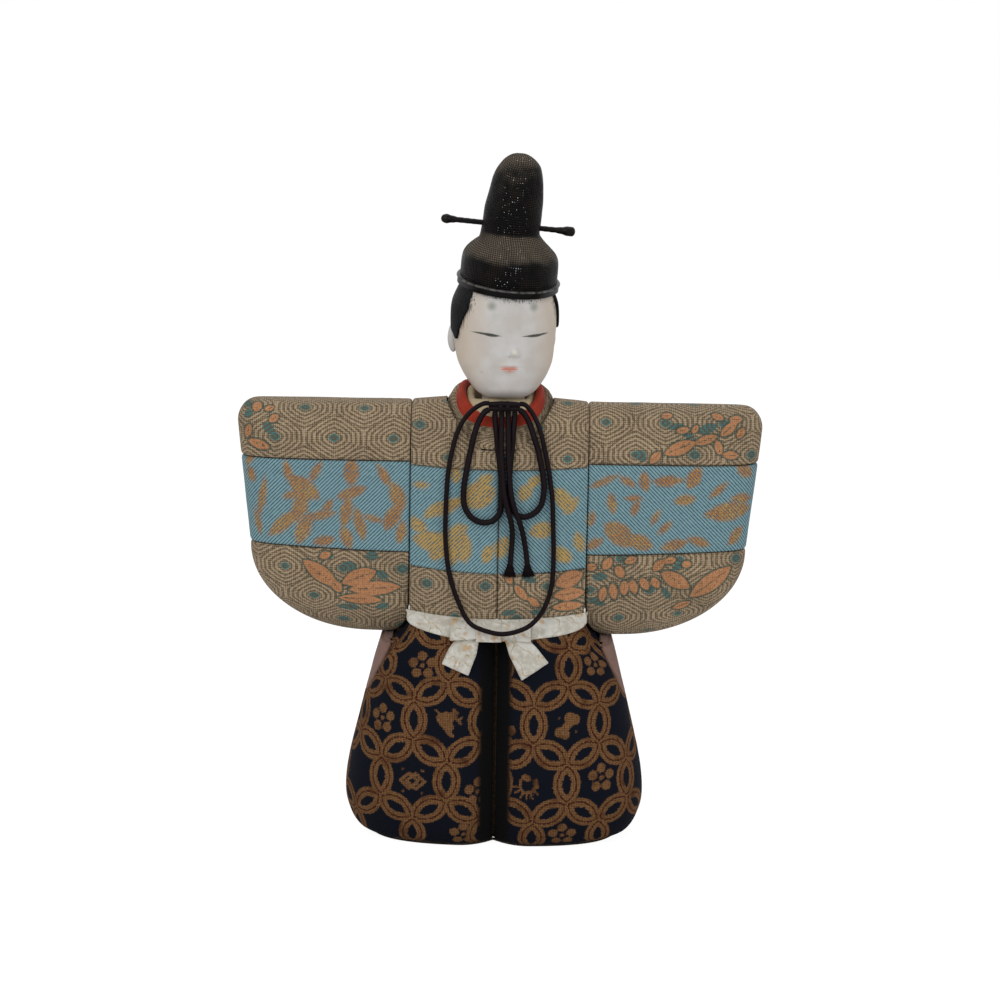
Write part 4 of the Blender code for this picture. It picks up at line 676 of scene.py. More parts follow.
def stations(length, tucked):
    """Shares along one side of a panel, closer together where an end is tucked in."""
    count = max(4, round(length / CLOTH_GRID))
    shares = {i / count for i in range(count + 1)}
    near = EDGE_PLACES[-1] / length
    start, end = ((near if side else 0.0) for side in tucked)
    shares = {share for share in shares if start <= share <= 1.0 - end or share in (0.0, 1.0)}
    for place in EDGE_PLACES:
        if tucked[0]:
            shares.add(place / length)
        if tucked[1]:
            shares.add(1.0 - place / length)
    return np.array(sorted(shares))


def arc_lengths(points, axis):
    """Length travelled over the points along one axis of the grid."""
    legs = np.linalg.norm(np.diff(points, axis=axis), axis=2)
    start = np.zeros_like(np.take(legs, [0], axis=axis))
    return np.concatenate((start, np.cumsum(legs, axis=axis)), axis=axis)


def even_walk(path):
    """Length of a path, and the shares that step evenly along it."""
    shares = np.linspace(0.0, 1.0, WALK_STEPS + 1)
    legs = np.linalg.norm(np.diff([path(share) for share in shares], axis=0), axis=1)
    reach = np.concatenate(([0.0], np.cumsum(legs)))
    return reach[-1], lambda places: np.interp(places, reach / reach[-1], shares)


def sunk_border(points, ends, tucked):
    """Points rolled down at tucked borders, with puckers near them and a slight swell."""
    away = np.full(points.shape[:2], SWELL_WIDTH)
    for distance, is_tucked in zip(ends, tucked):
        if is_tucked:
            away = np.minimum(away, distance)
    normals = np.cross(np.gradient(points, axis=1), np.gradient(points, axis=0))
    normals /= np.maximum(np.linalg.norm(normals, axis=2)[..., None], 1e-12)
    middle = points.mean(axis=(0, 1))
    middle[0] = 0.0 if abs(middle[0]) < SEAM_X else middle[0]
    middle[1] = 0.0
    turned = (normals * (points - middle)).sum() < 0.0
    if turned:
        normals = -normals
    inside = np.clip(TUCK_ROUND - away, 0.0, TUCK_ROUND)
    drop = TUCK_ROUND - np.sqrt(TUCK_ROUND**2 - inside**2)
    swell, pucker = (
        np.array([[noise.noise(Vector(point) / width) for point in line] for line in points])
        for width in (SWELL_WIDTH, PUCKER_WIDTH)
    )
    sink = drop + SWELL * np.clip(3.0 * away / SWELL_WIDTH, 0.0, 1.0) * np.abs(swell)
    sink += PUCKER * np.exp(-1.5 * away / PUCKER_WIDTH) * (pucker + 0.5)
    return points - normals * np.maximum(sink, 0.0)[..., None], turned


def tucked_panel(
    name, node, form, look, tucked=(True,) * 4, anchor=(0.0, 0.0), fold=(False, False),
    cloth_start=(0.0, 0.0), flipped=False,
):
    """Cloth over a form, its borders rolled down into the grooves.

    Form gives a point for a share of the height and of the width. Tucked says of the
    low, high, first and last border whether it goes into a groove. At the anchor's
    shares the flat cloth's measures are the point's own x and z. Past the middle of a
    folded side the drawn motifs run backwards. The weave starts at cloth_start.
    """
    shade, slot, motifs = look
    tall, walk_up = even_walk(lambda share: form(share, WALK_SHARES[1]))
    wide, walk_over = even_walk(lambda share: form(WALK_SHARES[0], share))
    down, across = walk_up(stations(tall, tucked[:2])), walk_over(stations(wide, tucked[2:]))
    points = np.array([[form(v, u) for u in across] for v in down], dtype=float)
    over, up = arc_lengths(points, 1), arc_lengths(points, 0)
    row, column = (int(np.argmin(np.abs(line - spot))) for line, spot in zip((down, across), anchor))
    start, third, end = points[row, (0, len(across) // 3, -1), 0]
    sign = math.copysign(1.0, end - start + third - start)
    flat = []
    for folded in (False, True):
        lengths = []
        for reach, line, axis, side in ((over, across, 1, 0), (up, down, 0, 1)):
            if folded and fold[1 - side]:
                turn = np.take(reach, [int(np.argmin(np.abs(line - 0.5)))], axis=axis)
                reach = turn - np.abs(reach - turn)
            lengths.append(reach)
        u = points[:, column:column + 1, 0] + sign * (lengths[0] - lengths[0][:, column:column + 1])
        v = points[row:row + 1, :, 2] + lengths[1] - lengths[1][row:row + 1]
        flat.append((u, v))
    ends = (up, up[-1:] - up, over, over[:, -1:] - over)
    points, turned = sunk_border(points, ends, tucked)
    places = np.stack((flat[0][0] - cloth_start[0], flat[0][1] - cloth_start[1]), axis=2)
    if flipped:
        places[..., 0] *= -1.0
    values = {key: motif(flat[1][0] * MILLIMETRES, flat[1][1] * MILLIMETRES) for key, motif in motifs.items()}
    if turned:
        points, places = points[:, ::-1], places[:, ::-1]
        values = {key: data[:, ::-1] for key, data in values.items()}
    mesh = shaped_grid(name, points, places, values)
    piece = finish_piece(name, mesh, shade, slot)
    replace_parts(piece, node)
    cut = (float(over[:, -1].max()), float(up[-1].max()))
    return piece, cut


def leaf_distance(leaves):
    """Distance in millimetres from the nearest leaf's edge, below 0 inside."""
    def distance(u, v):
        best = np.full(u.shape, FAR_AWAY)
        for x, z, length, width, degrees in leaves:
            angle = math.radians(degrees)
            du, dv = u - x, v - z
            lengthwise = du * math.cos(angle) + dv * math.sin(angle)
            sidewise = dv * math.cos(angle) - du * math.sin(angle)
            radius = (length**2 + width**2) / (4.0 * width)
            shift = radius - width / 2.0
            reach = np.hypot(lengthwise, np.abs(sidewise) + shift) - radius
            best = np.minimum(best, reach)
        return best
    return distance


def vein_distance(leaves):
    """Distance in millimetres from the mid line of the leaf that a point is in."""
    def distance(u, v):
        best = np.full(u.shape, FAR_AWAY)
        for x, z, length, width, degrees in leaves:
            angle = math.radians(degrees)
            du, dv = u - x, v - z
            lengthwise = du * math.cos(angle) + dv * math.sin(angle)
            sidewise = np.abs(dv * math.cos(angle) - du * math.sin(angle))
            branch = np.abs(((lengthwise - sidewise * 0.8) % LEAF_BRANCH) - LEAF_BRANCH / 2.0) + 0.12
            line = np.minimum(sidewise, branch) if length > LEAF_BRANCH * 4.0 else sidewise
            inside = (lengthwise / length) ** 2 + (sidewise / width) ** 2 < 0.16
            best[inside] = np.minimum(best[inside], line[inside])
        return best
    return distance


def cloth_place_effect():
    """Both measures on the flat cloth, in millimetres."""
    group, _, out = effect("place_on_cloth", (), ("Across", "Along"))
    flat = group.nodes.new("ShaderNodeUVMap")
    flat.uv_map = "cloth"
    parts = group.nodes.new("ShaderNodeSeparateXYZ")
    group.links.new(flat.outputs["UV"], parts.inputs[0])
    for axis in (0, 1):
        (Wire(group, parts.outputs[axis]) * MILLIMETRES).into(out[axis])
    return group


def weave_effect():
    """Plain weave: 1 on the crown of a thread and 0 between threads."""
    group, given, out = effect("plain_weave", ("Across", "Along", "Pitch"), ("Height",))
    waves = [
        (given[axis] * math.pi / given[2]).calc("SINE")
        for axis in (0, 1)
    ]
    abs(waves[0] * waves[1]).into(out[0])
    return group


def rib_effect():
    """Twill ribs: 1 along each rib's crown, broken a little where threads pass under."""
    group, given, out = effect("twill_ribs", ("Across", "Along", "Pitch"), ("Height",))
    run = given[1] - given[0]
    turn = math.pi / math.sqrt(2.0) / given[2]
    rib = abs((run * turn).calc("SINE"))
    other = given[0] + given[1]
    faster = turn * 1.7
    cross = abs((other * faster).calc("SINE"))
    (rib * (cross * 0.45 + 0.55)).into(out[0])
    return group


CLOTH_PLACE = cloth_place_effect()
WEAVE = weave_effect()
RIBS = rib_effect()


def ring_measure(across, along):
    """From 0 at the middle of the nearest six-sided cell to 1 on its border."""
    nearest = None
    for shift in (0.0, 0.5):
        x = across - RING_CELL_WIDTH * shift
        y = along - 2.0 * RING_ROW * shift
        x = abs(x.calc("WRAP", RING_CELL_WIDTH / 2.0, -RING_CELL_WIDTH / 2.0))
        y = abs(y.calc("WRAP", RING_ROW, -RING_ROW))
        flat = x / (RING_CELL_WIDTH / 2.0)
        slanted = (x * RING_SLOPE + y) / RING_CELL_HALF_HEIGHT
        six_sided = flat.calc("MAXIMUM", slanted)
        far = y / RING_CELL_HALF_HEIGHT
        round_part = (flat ** 2.0 + far ** 2.0) ** 0.5
        measure = six_sided * 0.6 + round_part * 0.4
        nearest = measure if nearest is None else nearest.calc("MINIMUM", measure)
    return nearest


def brocade_shade():
    """Beige rings on a dark ground with teal dots, and orange and teal leaves."""
    shade, tree, shader = new_shade("robe_brocade", 0.8, 0.1)
    across, along = place_effect(tree, CLOTH_PLACE)
    weave = place_effect(tree, WEAVE, across, along, BROCADE_PITCH)[0]
    grain = place_effect(tree, FLECKS, 0.9, 2.0)[0]
    broad = place_effect(tree, FLECKS, 14.0, 1.0)[0]
    measure = ring_measure(across, along) + broad * 0.16 - 0.08
    rings = (measure * (2.0 * math.pi * RING_COUNT)).calc("COSINE")
    threads = weave * 0.9 - 0.35
    rough = grain * 1.6 - 0.8
    level = rings * 0.42 + threads + rough
    light = step(level, -0.55, 0.6)
    ring_colour = tint(step(measure, 0.16, 0.21), BROCADE_TEAL, BROCADE_RINGS)
    colour = tint(light, BROCADE_GROUND, ring_colour)
    rag = threads * 0.35 + rough * 0.35
    teal = attribute(tree, "teal") + rag
    teal_light = tint(light, BROCADE_GROUND, BROCADE_TEAL)
    colour = tint(step(teal, 0.2, -0.2), colour, teal_light)
    leaf = attribute(tree, "leaf")
    edge = leaf + rag
    leaf_light = threads + rough * 1.3
    leaf_colour = tint(step(leaf_light, -0.75, 0.15), BROCADE_LEAF_DARK, BROCADE_LEAF)
    vein = step(attribute(tree, "vein") + rag * 0.3, 0.34, 0.08)
    leaf_colour = tint(vein * 0.8, leaf_colour, BROCADE_TEAL_DARK)
    outline = step(edge, 0.85, 0.5) * 0.75
    colour = tint(outline, colour, BROCADE_TEAL_DARK)
    colour = tint(step(edge, 0.15, -0.15), colour, leaf_colour)
    aged = broad * 0.5 + 0.72
    paint = tree.nodes.new("ShaderNodeMix")
    paint.data_type = "RGBA"
    paint.blend_type = "MULTIPLY"
    paint.inputs["Factor"].default_value = 1.0
    colour.into(paint.inputs[6])
    aged.into(paint.inputs[7])
    tree.links.new(paint.outputs[2], shader.inputs["Base Color"])
    bump(shader, light * 0.4 + weave, BROCADE_RELIEF, 0.8)
    return shade


def twill_shade():
    """Pale blue ribs with worn metallic leaves, yellower on the chest."""
    shade, tree, shader = new_shade("blue_twill", 0.7, 0.1)
    across, along = place_effect(tree, CLOTH_PLACE)
    ribs = place_effect(tree, RIBS, across, along, TWILL_PITCH)[0]
    grain = place_effect(tree, FLECKS, 0.8, 2.0)[0]
    broad = place_effect(tree, FLECKS, 9.0, 1.0)[0]
    rough = grain * 1.4 - 0.7
    light = step(ribs + rough * 0.5, 0.1, 0.8)
    ground = tint(light, TWILL_DARK, TWILL_LIGHT)
    chest = step(abs(across), 34.0, 30.0) * 0.7
    sparkle = place_effect(tree, FLECKS, 0.45, 1.0)[0] * 2.4 - 1.2
    mixed = chest * 0.75 + broad * 0.7 + sparkle
    metal = tint(step(mixed, 0.1, 0.9), TWILL_BROWN, TWILL_GOLD)
    edge = attribute(tree, "leaf") + rough * 2.0
    inside = step(edge, 1.2, -0.5)
    threads = step(ribs + rough * 1.3, 0.12, 0.62)
    kept = inside * threads
    colour = tint(kept, ground, metal)
    colour.into(shader.inputs["Base Color"])
    (kept * 0.35).into(shader.inputs["Metallic"])
    bump(shader, ribs, TWILL_RELIEF, 0.8)
    return shade


BROCADE = brocade_shade()
TWILL = twill_shade()
BROCADE_LOOK = (BROCADE, "robe_brocade", {
    "leaf": leaf_distance(BROCADE_LEAVES),
    "teal": leaf_distance(TEAL_LEAVES),
    "vein": vein_distance(BROCADE_LEAVES),
})
TWILL_LOOK = (TWILL, "blue_twill", {"leaf": leaf_distance(TWILL_LEAVES)})


def body_panel(name, node, facing, ends, low, high, look, cloth_start=(0.0, 0.0), flipped=False):
    """A strip of the robe body between two sewn lines."""
    def form(v, u):
        x = mix(ends[0], ends[1], u)
        return torso_point(facing, x, mix(seam_height(*low, x), seam_height(*high, x), v))

    tucked_panel(name, node, form, look, cloth_start=cloth_start, flipped=flipped)


def dress_robe_body():
    gap = TUCK / 4.0
    edge = SEAM_X
    hem, skirt, chest = (HEM, HEM_CURVE), (SKIRT_SEAM, SKIRT_SEAM_CURVE), (CHEST_SEAM, CHEST_SEAM_CURVE)
    for word, ends, flipped in (("left", (-edge, -gap), False), ("right", (gap, edge), True)):
        body_panel(f"chest_{word}", f"chest_band_{word}", -1, ends, skirt, chest, TWILL_LOOK, flipped=flipped)
        body_panel(f"skirt_{word}", f"lower_front_{word}", -1, ends, hem, skirt, BROCADE_LOOK, SKIRT_RING)
    body_panel("back", "back_band", 1, (edge, -edge), skirt, chest, TWILL_LOOK)
    body_panel("skirt_back", "lower_back", 1, (edge, -edge), hem, skirt, BROCADE_LOOK, SKIRT_RING)

    def over_shoulder(v, u):
        x = mix(-edge, edge, u)
        rise = math.sin((1.0 - abs(2.0 * v - 1.0)) * math.pi / 2.0)
        return torso_point(-1 if v < 0.5 else 1, x, mix(seam_height(*chest, x), ridge_height(x), rise))

    return tucked_panel(
        "yoke_cloth", "yoke", over_shoulder, BROCADE_LOOK,
        anchor=(0.0, 0.5), fold=(True, False), cloth_start=YOKE_RING,
    )


YOKE, YOKE_CUT = dress_robe_body()

# Sleeves
# Each sleeve is one stuffed form in the same three strips of cloth, joined to the
# body by a hidden dowel. Its tip is round and its lower corners are rounder.
SLEEVE_BOTTOM = 0.0746
SLEEVE_DEPTH = 0.0162
SLEEVE_REACH = 0.0952
ELBOW = 0.1066
ELBOW_REACH = 0.0895
ELBOW_CENTRE_X = 0.044
SLEEVE_CORNER = 0.0086
ARMPIT_RADIUS = 0.0094
ARMPIT = SLEEVE_BOTTOM + ARMPIT_RADIUS
SLEEVE_TIP_ROUNDNESS = 4.0
CUFF_SEAM = 0.1391
CUFF_LOW_SEAM = 0.1062
CUFF_LOW_SEAM_RISE = 0.0016


def sleeve_start(height):
    """Where a sleeve begins beside the body; its lower inner corner is round."""
    drop = min(max(ARMPIT - height, 0.0), ARMPIT_RADIUS)
    return SEAM_X + ARMPIT_RADIUS - math.sqrt(ARMPIT_RADIUS**2 - drop**2)


def sleeve_reach(height):
    """The outline of a sleeve seen from the front."""
    if height < ELBOW:
        drop = (ELBOW - height) / (ELBOW - SLEEVE_BOTTOM)
        return ELBOW_CENTRE_X + (ELBOW_REACH - ELBOW_CENTRE_X) * rounded(drop, 2.0)
    reach = mix(ELBOW_REACH, SLEEVE_REACH, (height - ELBOW) / (SHOULDER - ELBOW))
    rise = (height - (SHOULDER - SLEEVE_CORNER)) / SLEEVE_CORNER
    return reach - SLEEVE_CORNER * (1.0 - rounded(rise, 2.0)) if rise > 0.0 else reach


def sleeve_point(side, around, height):
    """Around runs from -1 at the front root past 0 at the tip to 1 at the back root."""
    if height > ROBE_MIDDLE:
        rise = (height - ROBE_MIDDLE) / (SHOULDER - ROBE_MIDDLE)
    else:
        rise = (ROBE_MIDDLE - height) / (ROBE_MIDDLE - SLEEVE_BOTTOM)
    start = sleeve_start(height)
    depth = SLEEVE_DEPTH * rounded(rise, SEAM_ROUNDNESS)
    angle = abs(around) * math.pi / 2.0
    out = math.cos(angle) ** (2.0 / SLEEVE_TIP_ROUNDNESS) if abs(around) < 1.0 else 0.0
    deep = math.sin(angle) ** (2.0 / SLEEVE_TIP_ROUNDNESS)
    x = start + (sleeve_reach(height) - start) * out
    return (side * x, math.copysign(depth * deep, around), height)


def low_seam(around):
    """The lower seam of a sleeve rises towards its tip."""
    return CUFF_LOW_SEAM + CUFF_LOW_SEAM_RISE * (1.0 - around**4)


def dress_sleeve(side, word, top_ring, low_ring):
    gap = TUCK / 4.0

    def turn(u):
        return math.copysign((1.0 - math.cos(math.pi * abs(2.0 * u - 1.0))) / 2.0, u - 0.5)

    def top(v, u):
        return sleeve_point(side, turn(u), mix(CUFF_SEAM + gap, SHOULDER, math.sin(v * math.pi / 2.0)))

    def band(v, u):
        around = turn(u)
        return sleeve_point(side, around, mix(low_seam(around) + gap, CUFF_SEAM - gap, v))

    def low(v, u):
        around = turn(u)
        rise = 1.0 - math.cos(v * math.pi / 2.0)
        return sleeve_point(side, around, mix(SLEEVE_BOTTOM, low_seam(around) - gap, rise))

    fold = (False, True)
    tucked_panel(
        f"shoulder_{word}", f"sleeve_top_{word}", top, BROCADE_LOOK,
        tucked=(True, False, True, True), fold=fold, cloth_start=top_ring,
    )
    tucked_panel(f"cuff_{word}", f"sleeve_band_{word}", band, TWILL_LOOK, fold=fold, flipped=side > 0)
    tucked_panel(
        f"underarm_{word}", f"sleeve_lower_{word}", low, BROCADE_LOOK,
        tucked=(False, True, True, True), anchor=(1.0, 0.0), fold=fold, cloth_start=low_ring,
    )


dress_sleeve(-1, "left", LEFT_TOP_RING, LEFT_LOW_RING)
dress_sleeve(1, "right", RIGHT_TOP_RING, RIGHT_LOW_RING)

# Trousers
# Two wide stuffed legs in dark printed crepe with a pleat between them. A plain
# strip at each side runs up under the sleeve, and a flat cloth closes the feet.
HEM_DROP = 0.0067
TROUSER_HEIGHT = HEM - HEM_DROP
TROUSER_HALF_WIDTH = 0.0545
TROUSER_FRONT_DEPTH = 0.0315
TROUSER_BACK_DEPTH = 0.029
TROUSER_ROUNDNESS = 2.6
WAIST_ROUNDNESS = 6.0
WAIST_START = 0.060
PLEAT_DEPTH = 0.0075
BACK_PLEAT_DEPTH = 0.004
PLEAT_REACH = 0.014
CREASE_START = 0.052
CREASE_SHARE = 0.90
BASE_CLOTH = 0.001
BASE_MARGIN = 0.0018
WAIST_ROW_SHARE = 0.78
SIDE_ROW_SHARES = (0.675, 1.03)
LEG_ANCHOR_ROW_SHARE = 0.606
SASH_END_DROP = 0.0026
SASH_HALF_LENGTH = 0.0326
WIDTH_SHARES = (
    (0.0, 0.80), (0.045, 0.914), (0.14, 0.982), (0.23, 1.0), (0.37, 0.98),
    (0.58, 0.914), (0.82, 0.833), (1.0, 0.765),
)
DEPTH_SHARES = (
    (0.0, 0.74), (0.045, 0.87), (0.14, 0.965), (0.23, 1.0), (0.37, 0.985),
    (0.58, 0.92), (0.82, 0.84), (1.0, 0.79),
)
PETAL_CELL = 24.75
PETAL_ROW = PETAL_CELL * math.sqrt(3.0) / 2.0
PETAL_BACK = 3.978
PETAL_RADIUS = 8.178
PETAL_OUTSIDE = 0.9
PETAL_HEART = -2.5
PETAL_LINE = 0.65
# Painted shade along the pleat: full for PLEAT_REST millimetres out from it, then fading over PLEAT_SHADE.
PLEAT_REST = 3.6
PLEAT_SHADE = 3.0
LEFT_CHARM = (-0.0170, 0.0471)
RIGHT_CHARM = (0.0261, 0.0464)
CREPE_RELIEF = 0.00010
PLAIN_RELIEF = 0.00008
BASE_EDGE = 0.0002
CREPE_PITCH = 0.62
CREPE_GROUND = srgb(12, 15, 25)
CREPE_PATTERN = srgb(128, 94, 62)
CREPE_PATTERN_DARK = srgb(76, 48, 28)
CREPE_LINE = srgb(52, 20, 12)
CREPE_SHADOW = srgb(10, 9, 10)
SIDE_CLOTH_COLOUR = srgb(146, 116, 104)
SIDE_CLOTH_DARK = srgb(112, 84, 74)
PLUM = (
    (0, 3.6, 0, 3.6, 1.8), (3.42, 1.11, 3.42, 1.11, 1.8), (2.12, -2.91, 2.12, -2.91, 1.8),
    (-2.12, -2.91, -2.12, -2.91, 1.8), (-3.42, 1.11, -3.42, 1.11, 1.8), (0, 0, 0, 0, 0.9),
)
MALLET = (
    (-2.2, 1.2, 0.4, -1.8, 1.9), (-0.6, 2.0, 0.6, 1.0, 1.7), (1.6, 3.2, 4.8, -0.6, 0.45),
    (-0.4, -3.2, 1.8, -5.0, 0.7), (2.4, 4.4, 3.4, 3.2, 0.6), (4.6, 1.0, 5.2, 1.8, 0.4),
    (-4.4, 4.0, -2.6, 2.6, 0.45),
)
WEIGHT = (
    (0.6, 2.6, 2.8, 1.8, 1.9), (-3.0, -2.6, -1.0, -3.4, 1.8), (-1.4, -1.6, 1.2, 1.0, 1.5),
    (-3.2, 2.6, -3.2, 2.6, 0.45), (3.2, -2.6, 3.2, -2.6, 0.45),
)
LOZENGES = (
    (-4.6, 0, -1.2, 2.8, 0.55), (-1.2, 2.8, 2.2, 0, 0.55), (2.2, 0, -1.2, -2.8, 0.55),
    (-1.2, -2.8, -4.6, 0, 0.55), (-2.2, 0, 1.2, 2.8, 0.55), (1.2, 2.8, 4.6, 0, 0.55),
    (4.6, 0, 1.2, -2.8, 0.55), (1.2, -2.8, -2.2, 0, 0.55), (-3.6, 4, -3.6, 4, 0.6),
    (3.6, 4, 3.6, 4, 0.6), (-3.6, -4, -3.6, -4, 0.6), (3.6, -4, 3.6, -4, 0.6),
)
CAPE = (
    (-0.6, 3.4, 0.8, 3.0, 1.1), (3.4, 2.0, 3.8, 0.2, 0.9), (-2.0, 2.0, -2.2, -0.6, 0.5),
    (-2.2, -0.6, -0.6, -2.2, 0.5), (-0.6, -2.2, 1.8, -2.0, 0.5), (1.8, -2.0, 3.8, 0.2, 0.6),
    (-2.6, 0.0, -5.0, -0.6, 0.35), (-2.0, -1.4, -4.2, -2.6, 0.35), (-1.0, -2.4, -2.2, -4.4, 0.35),
    (0.4, -2.6, 0.2, -4.8, 0.35), (1.8, -2.4, 2.4, -4.4, 0.35), (3.0, -1.4, 4.4, -2.8, 0.35),
)
CHARMS = (
    (-17.0, 47.1, MALLET), (26.1, 46.4, WEIGHT), (-29.4, 25.0, LOZENGES), (11.3, 24.3, CAPE),
    (-42.1, 46.2, PLUM), (-26.4, 67.6, PLUM), (-5.2, 21.6, PLUM), (-10.6, 5.0, PLUM),
    (2.0, 42.8, PLUM), (39.2, 26.4, PLUM), (24.8, 4.8, PLUM), (37.0, 69.6, PLUM),
)


def along(table, share):
    """Read a table of (place, value) shares with a smooth curve between its points."""
    share = min(max(share, table[0][0]), table[-1][0])
    count = len(table)
    spot = max(i for i in range(count - 1) if table[i][0] <= share)
    (x0, y0), (x1, y1) = table[spot], table[spot + 1]
    run = x1 - x0
    start = (y1 - table[spot - 1][1]) / (x1 - table[spot - 1][0]) if spot else (y1 - y0) / run
    last = spot + 2 >= count
    end = (y1 - y0) / run if last else (table[spot + 2][1] - y0) / (table[spot + 2][0] - x0)
    t = (share - x0) / run
    level = y0 * (2 * t**3 - 3 * t**2 + 1) + y1 * (3 * t**2 - 2 * t**3)
    return level + run * (start * (t**3 - 2 * t**2 + t) + end * (t**3 - t**2))


def trouser_width(height):
    width = TROUSER_HALF_WIDTH * along(WIDTH_SHARES, height / SLEEVE_BOTTOM)
    return min(width, sleeve_start(height) - TUCK) if height > SLEEVE_BOTTOM - CLOTH else width


def trouser_roundness(height):
    """The section grows squarer towards the waist."""
    rise = (height - WAIST_START) / (ARMPIT - WAIST_START)
    return mix(TROUSER_ROUNDNESS, WAIST_ROUNDNESS, min(max(rise, 0.0), 1.0))


def trouser_depth(facing, height):
    depth = TROUSER_FRONT_DEPTH if facing < 0 else TROUSER_BACK_DEPTH
    return depth * along(DEPTH_SHARES, height / SLEEVE_BOTTOM)


def trouser_point(side, facing, share, height):
    """Share runs from 0 at the pleat between the legs to 1 at the side."""
    x = trouser_width(height) * share
    pleat = PLEAT_DEPTH if facing < 0 else BACK_PLEAT_DEPTH
    depth = trouser_depth(facing, height) * rounded(share, trouser_roundness(height))
    depth -= pleat * max(0.0, 1.0 - x / PLEAT_REACH) ** 2
    return (side * x, facing * depth, height)


def sash_low(x):
    """Lower edge of the sash, which dips at the centre."""
    share = min((x / SASH_HALF_LENGTH) ** 2, 1.0)
    return mix(TROUSER_HEIGHT, HEM + HEM_CURVE - SASH_END_DROP, share)


def crease_x(height):
    """The front panel's outer edge, which leaves the side of the leg and runs up to the sleeve."""
    rise = (height - CREASE_START) / (SLEEVE_BOTTOM - CREASE_START)
    width = TROUSER_HALF_WIDTH * along(WIDTH_SHARES, height / SLEEVE_BOTTOM)
    return min(width * mix(1.0, CREASE_SHARE, min(max(rise, 0.0), 1.0)), trouser_width(height))


def crease_share(facing, height, gap):
    """The crease as a share of the leg's half width, moved round the leg by a gap."""
    power = trouser_roundness(height)
    reach = rounded(crease_x(height) / trouser_width(height), power) + gap / trouser_depth(facing, height)
    return rounded(max(reach, 0.0), power)


def leg_top(x):
    """Upper edge of a leg panel: the sash, then the sleeve's round lower corner."""
    reach = min(max(SEAM_X + ARMPIT_RADIUS - x - TUCK, 0.0), ARMPIT_RADIUS)
    return min(sash_low(x), ARMPIT - math.sqrt(ARMPIT_RADIUS**2 - reach**2)) + TUCK


def leg_height(row, x):
    """Height of a panel row, which bends up towards the panel's upper edge."""
    lift = max(0.0, (row - WAIST_ROW_SHARE) / (1.0 - WAIST_ROW_SHARE))
    return mix(BASE_CLOTH + CLEARANCE, TROUSER_HEIGHT, row) + (leg_top(x) - TROUSER_HEIGHT) * lift


def crease_height(row):
    return leg_height(row, trouser_width(SLEEVE_BOTTOM) * CREASE_SHARE)


def stroke_distance(placed):
    """Distance in millimetres from drawn strokes, below 0 inside them."""
    def distance(u, v):
        best = np.full(u.shape, FAR_AWAY)
        for x, z, strokes in placed:
            near = np.hypot(u - x, v - z) < PETAL_CELL / 2.0
            du, dv = u[near] - x, v[near] - z
            for x1, z1, x2, z2, half in strokes:
                run, climb = x2 - x1, z2 - z1
                share = ((du - x1) * run + (dv - z1) * climb) / max(run**2 + climb**2, 1e-9)
                share = np.clip(share, 0.0, 1.0)
                reach = np.hypot(du - x1 - run * share, dv - z1 - climb * share) - half
                best[near] = np.minimum(best[near], reach)
        return best
    return distance


def petal_measure(across, up):
    """Distance in millimetres from the nearest petal's edge, below 0 inside it."""
    best = None
    for shift in (0.0, 0.5):
        x = across - PETAL_CELL * shift
        y = up - 2.0 * PETAL_ROW * shift
        x = x.calc("WRAP", PETAL_CELL / 2.0, -PETAL_CELL / 2.0)
        y = y.calc("WRAP", PETAL_ROW, -PETAL_ROW)
        squares = x * x + y * y
        reach = squares.calc("SQRT")
        turn = y.calc("ARCTAN2", x).calc("WRAP", math.pi / 6.0, -math.pi / 6.0)
        out = reach * turn.calc("COSINE")
        side = reach * turn.calc("SINE")
        back = abs(out - PETAL_CELL / 2.0) + PETAL_BACK
        squares = side * side + back * back
        petal = squares.calc("SQRT") - PETAL_RADIUS
        best = petal if best is None else best.calc("MINIMUM", petal)
    return best


def crepe_shade():
    """Dark crepe with linked petals and small drawn charms in worn brown gold, and painted shade along the
    pleat between the legs.
    """
    shade, tree, shader = new_shade("trouser_crepe", 0.85)
    across, up = place_effect(tree, CLOTH_PLACE)
    weave = place_effect(tree, WEAVE, across, up, CREPE_PITCH)[0]
    grain = place_effect(tree, FLECKS, 0.7, 2.0)[0]
    worn = place_effect(tree, FLECKS, 6.0, 2.0)[0]
    rough = grain * 1.4 - 0.7
    petal = petal_measure(across, up) + rough
    inside = step(petal, PETAL_OUTSIDE + 0.2, PETAL_OUTSIDE - 0.2)
    heart = step(petal, PETAL_HEART + 0.2, PETAL_HEART - 0.2)
    band = inside - heart
    charm = step(attribute(tree, "charm") + rough, 0.2, -0.2)
    shape = band.calc("MAXIMUM", charm)
    line = abs(petal + PETAL_LINE)
    line = step(line, 0.36, 0.10) * band
    threads = step(weave + rough * 0.9, 0.0, 0.75)
    gold = tint(threads * step(worn, 0.25, 0.5), CREPE_PATTERN_DARK, CREPE_PATTERN)
    colour = tint(line, tint(shape, CREPE_GROUND, gold), CREPE_LINE)
    # Painted shade deep in the pleat between the legs.
    colour = tint(step(attribute(tree, "pleat"), 0.0, 1.0), CREPE_SHADOW, colour)
    colour.into(shader.inputs["Base Color"])
    bump(shader, shape * 0.5 + weave, CREPE_RELIEF, 0.7)
    return shade


def plain_shade(name, dark, light, pitch, roughness=0.85, sheen=0.1, depth=PLAIN_RELIEF):
    """A plain cloth with a fine weave and faint worn patches."""
    shade, tree, shader = new_shade(name, roughness, sheen)
    across, up = place_effect(tree, CLOTH_PLACE)
    weave = place_effect(tree, WEAVE, across, up, pitch)[0]
    worn = place_effect(tree, FLECKS, 5.0, 3.0)[0]
    level = weave * 0.4 + worn * 0.75
    tint(level, dark, light).into(shader.inputs["Base Color"])
    bump(shader, weave, depth, 0.7)
    return shade


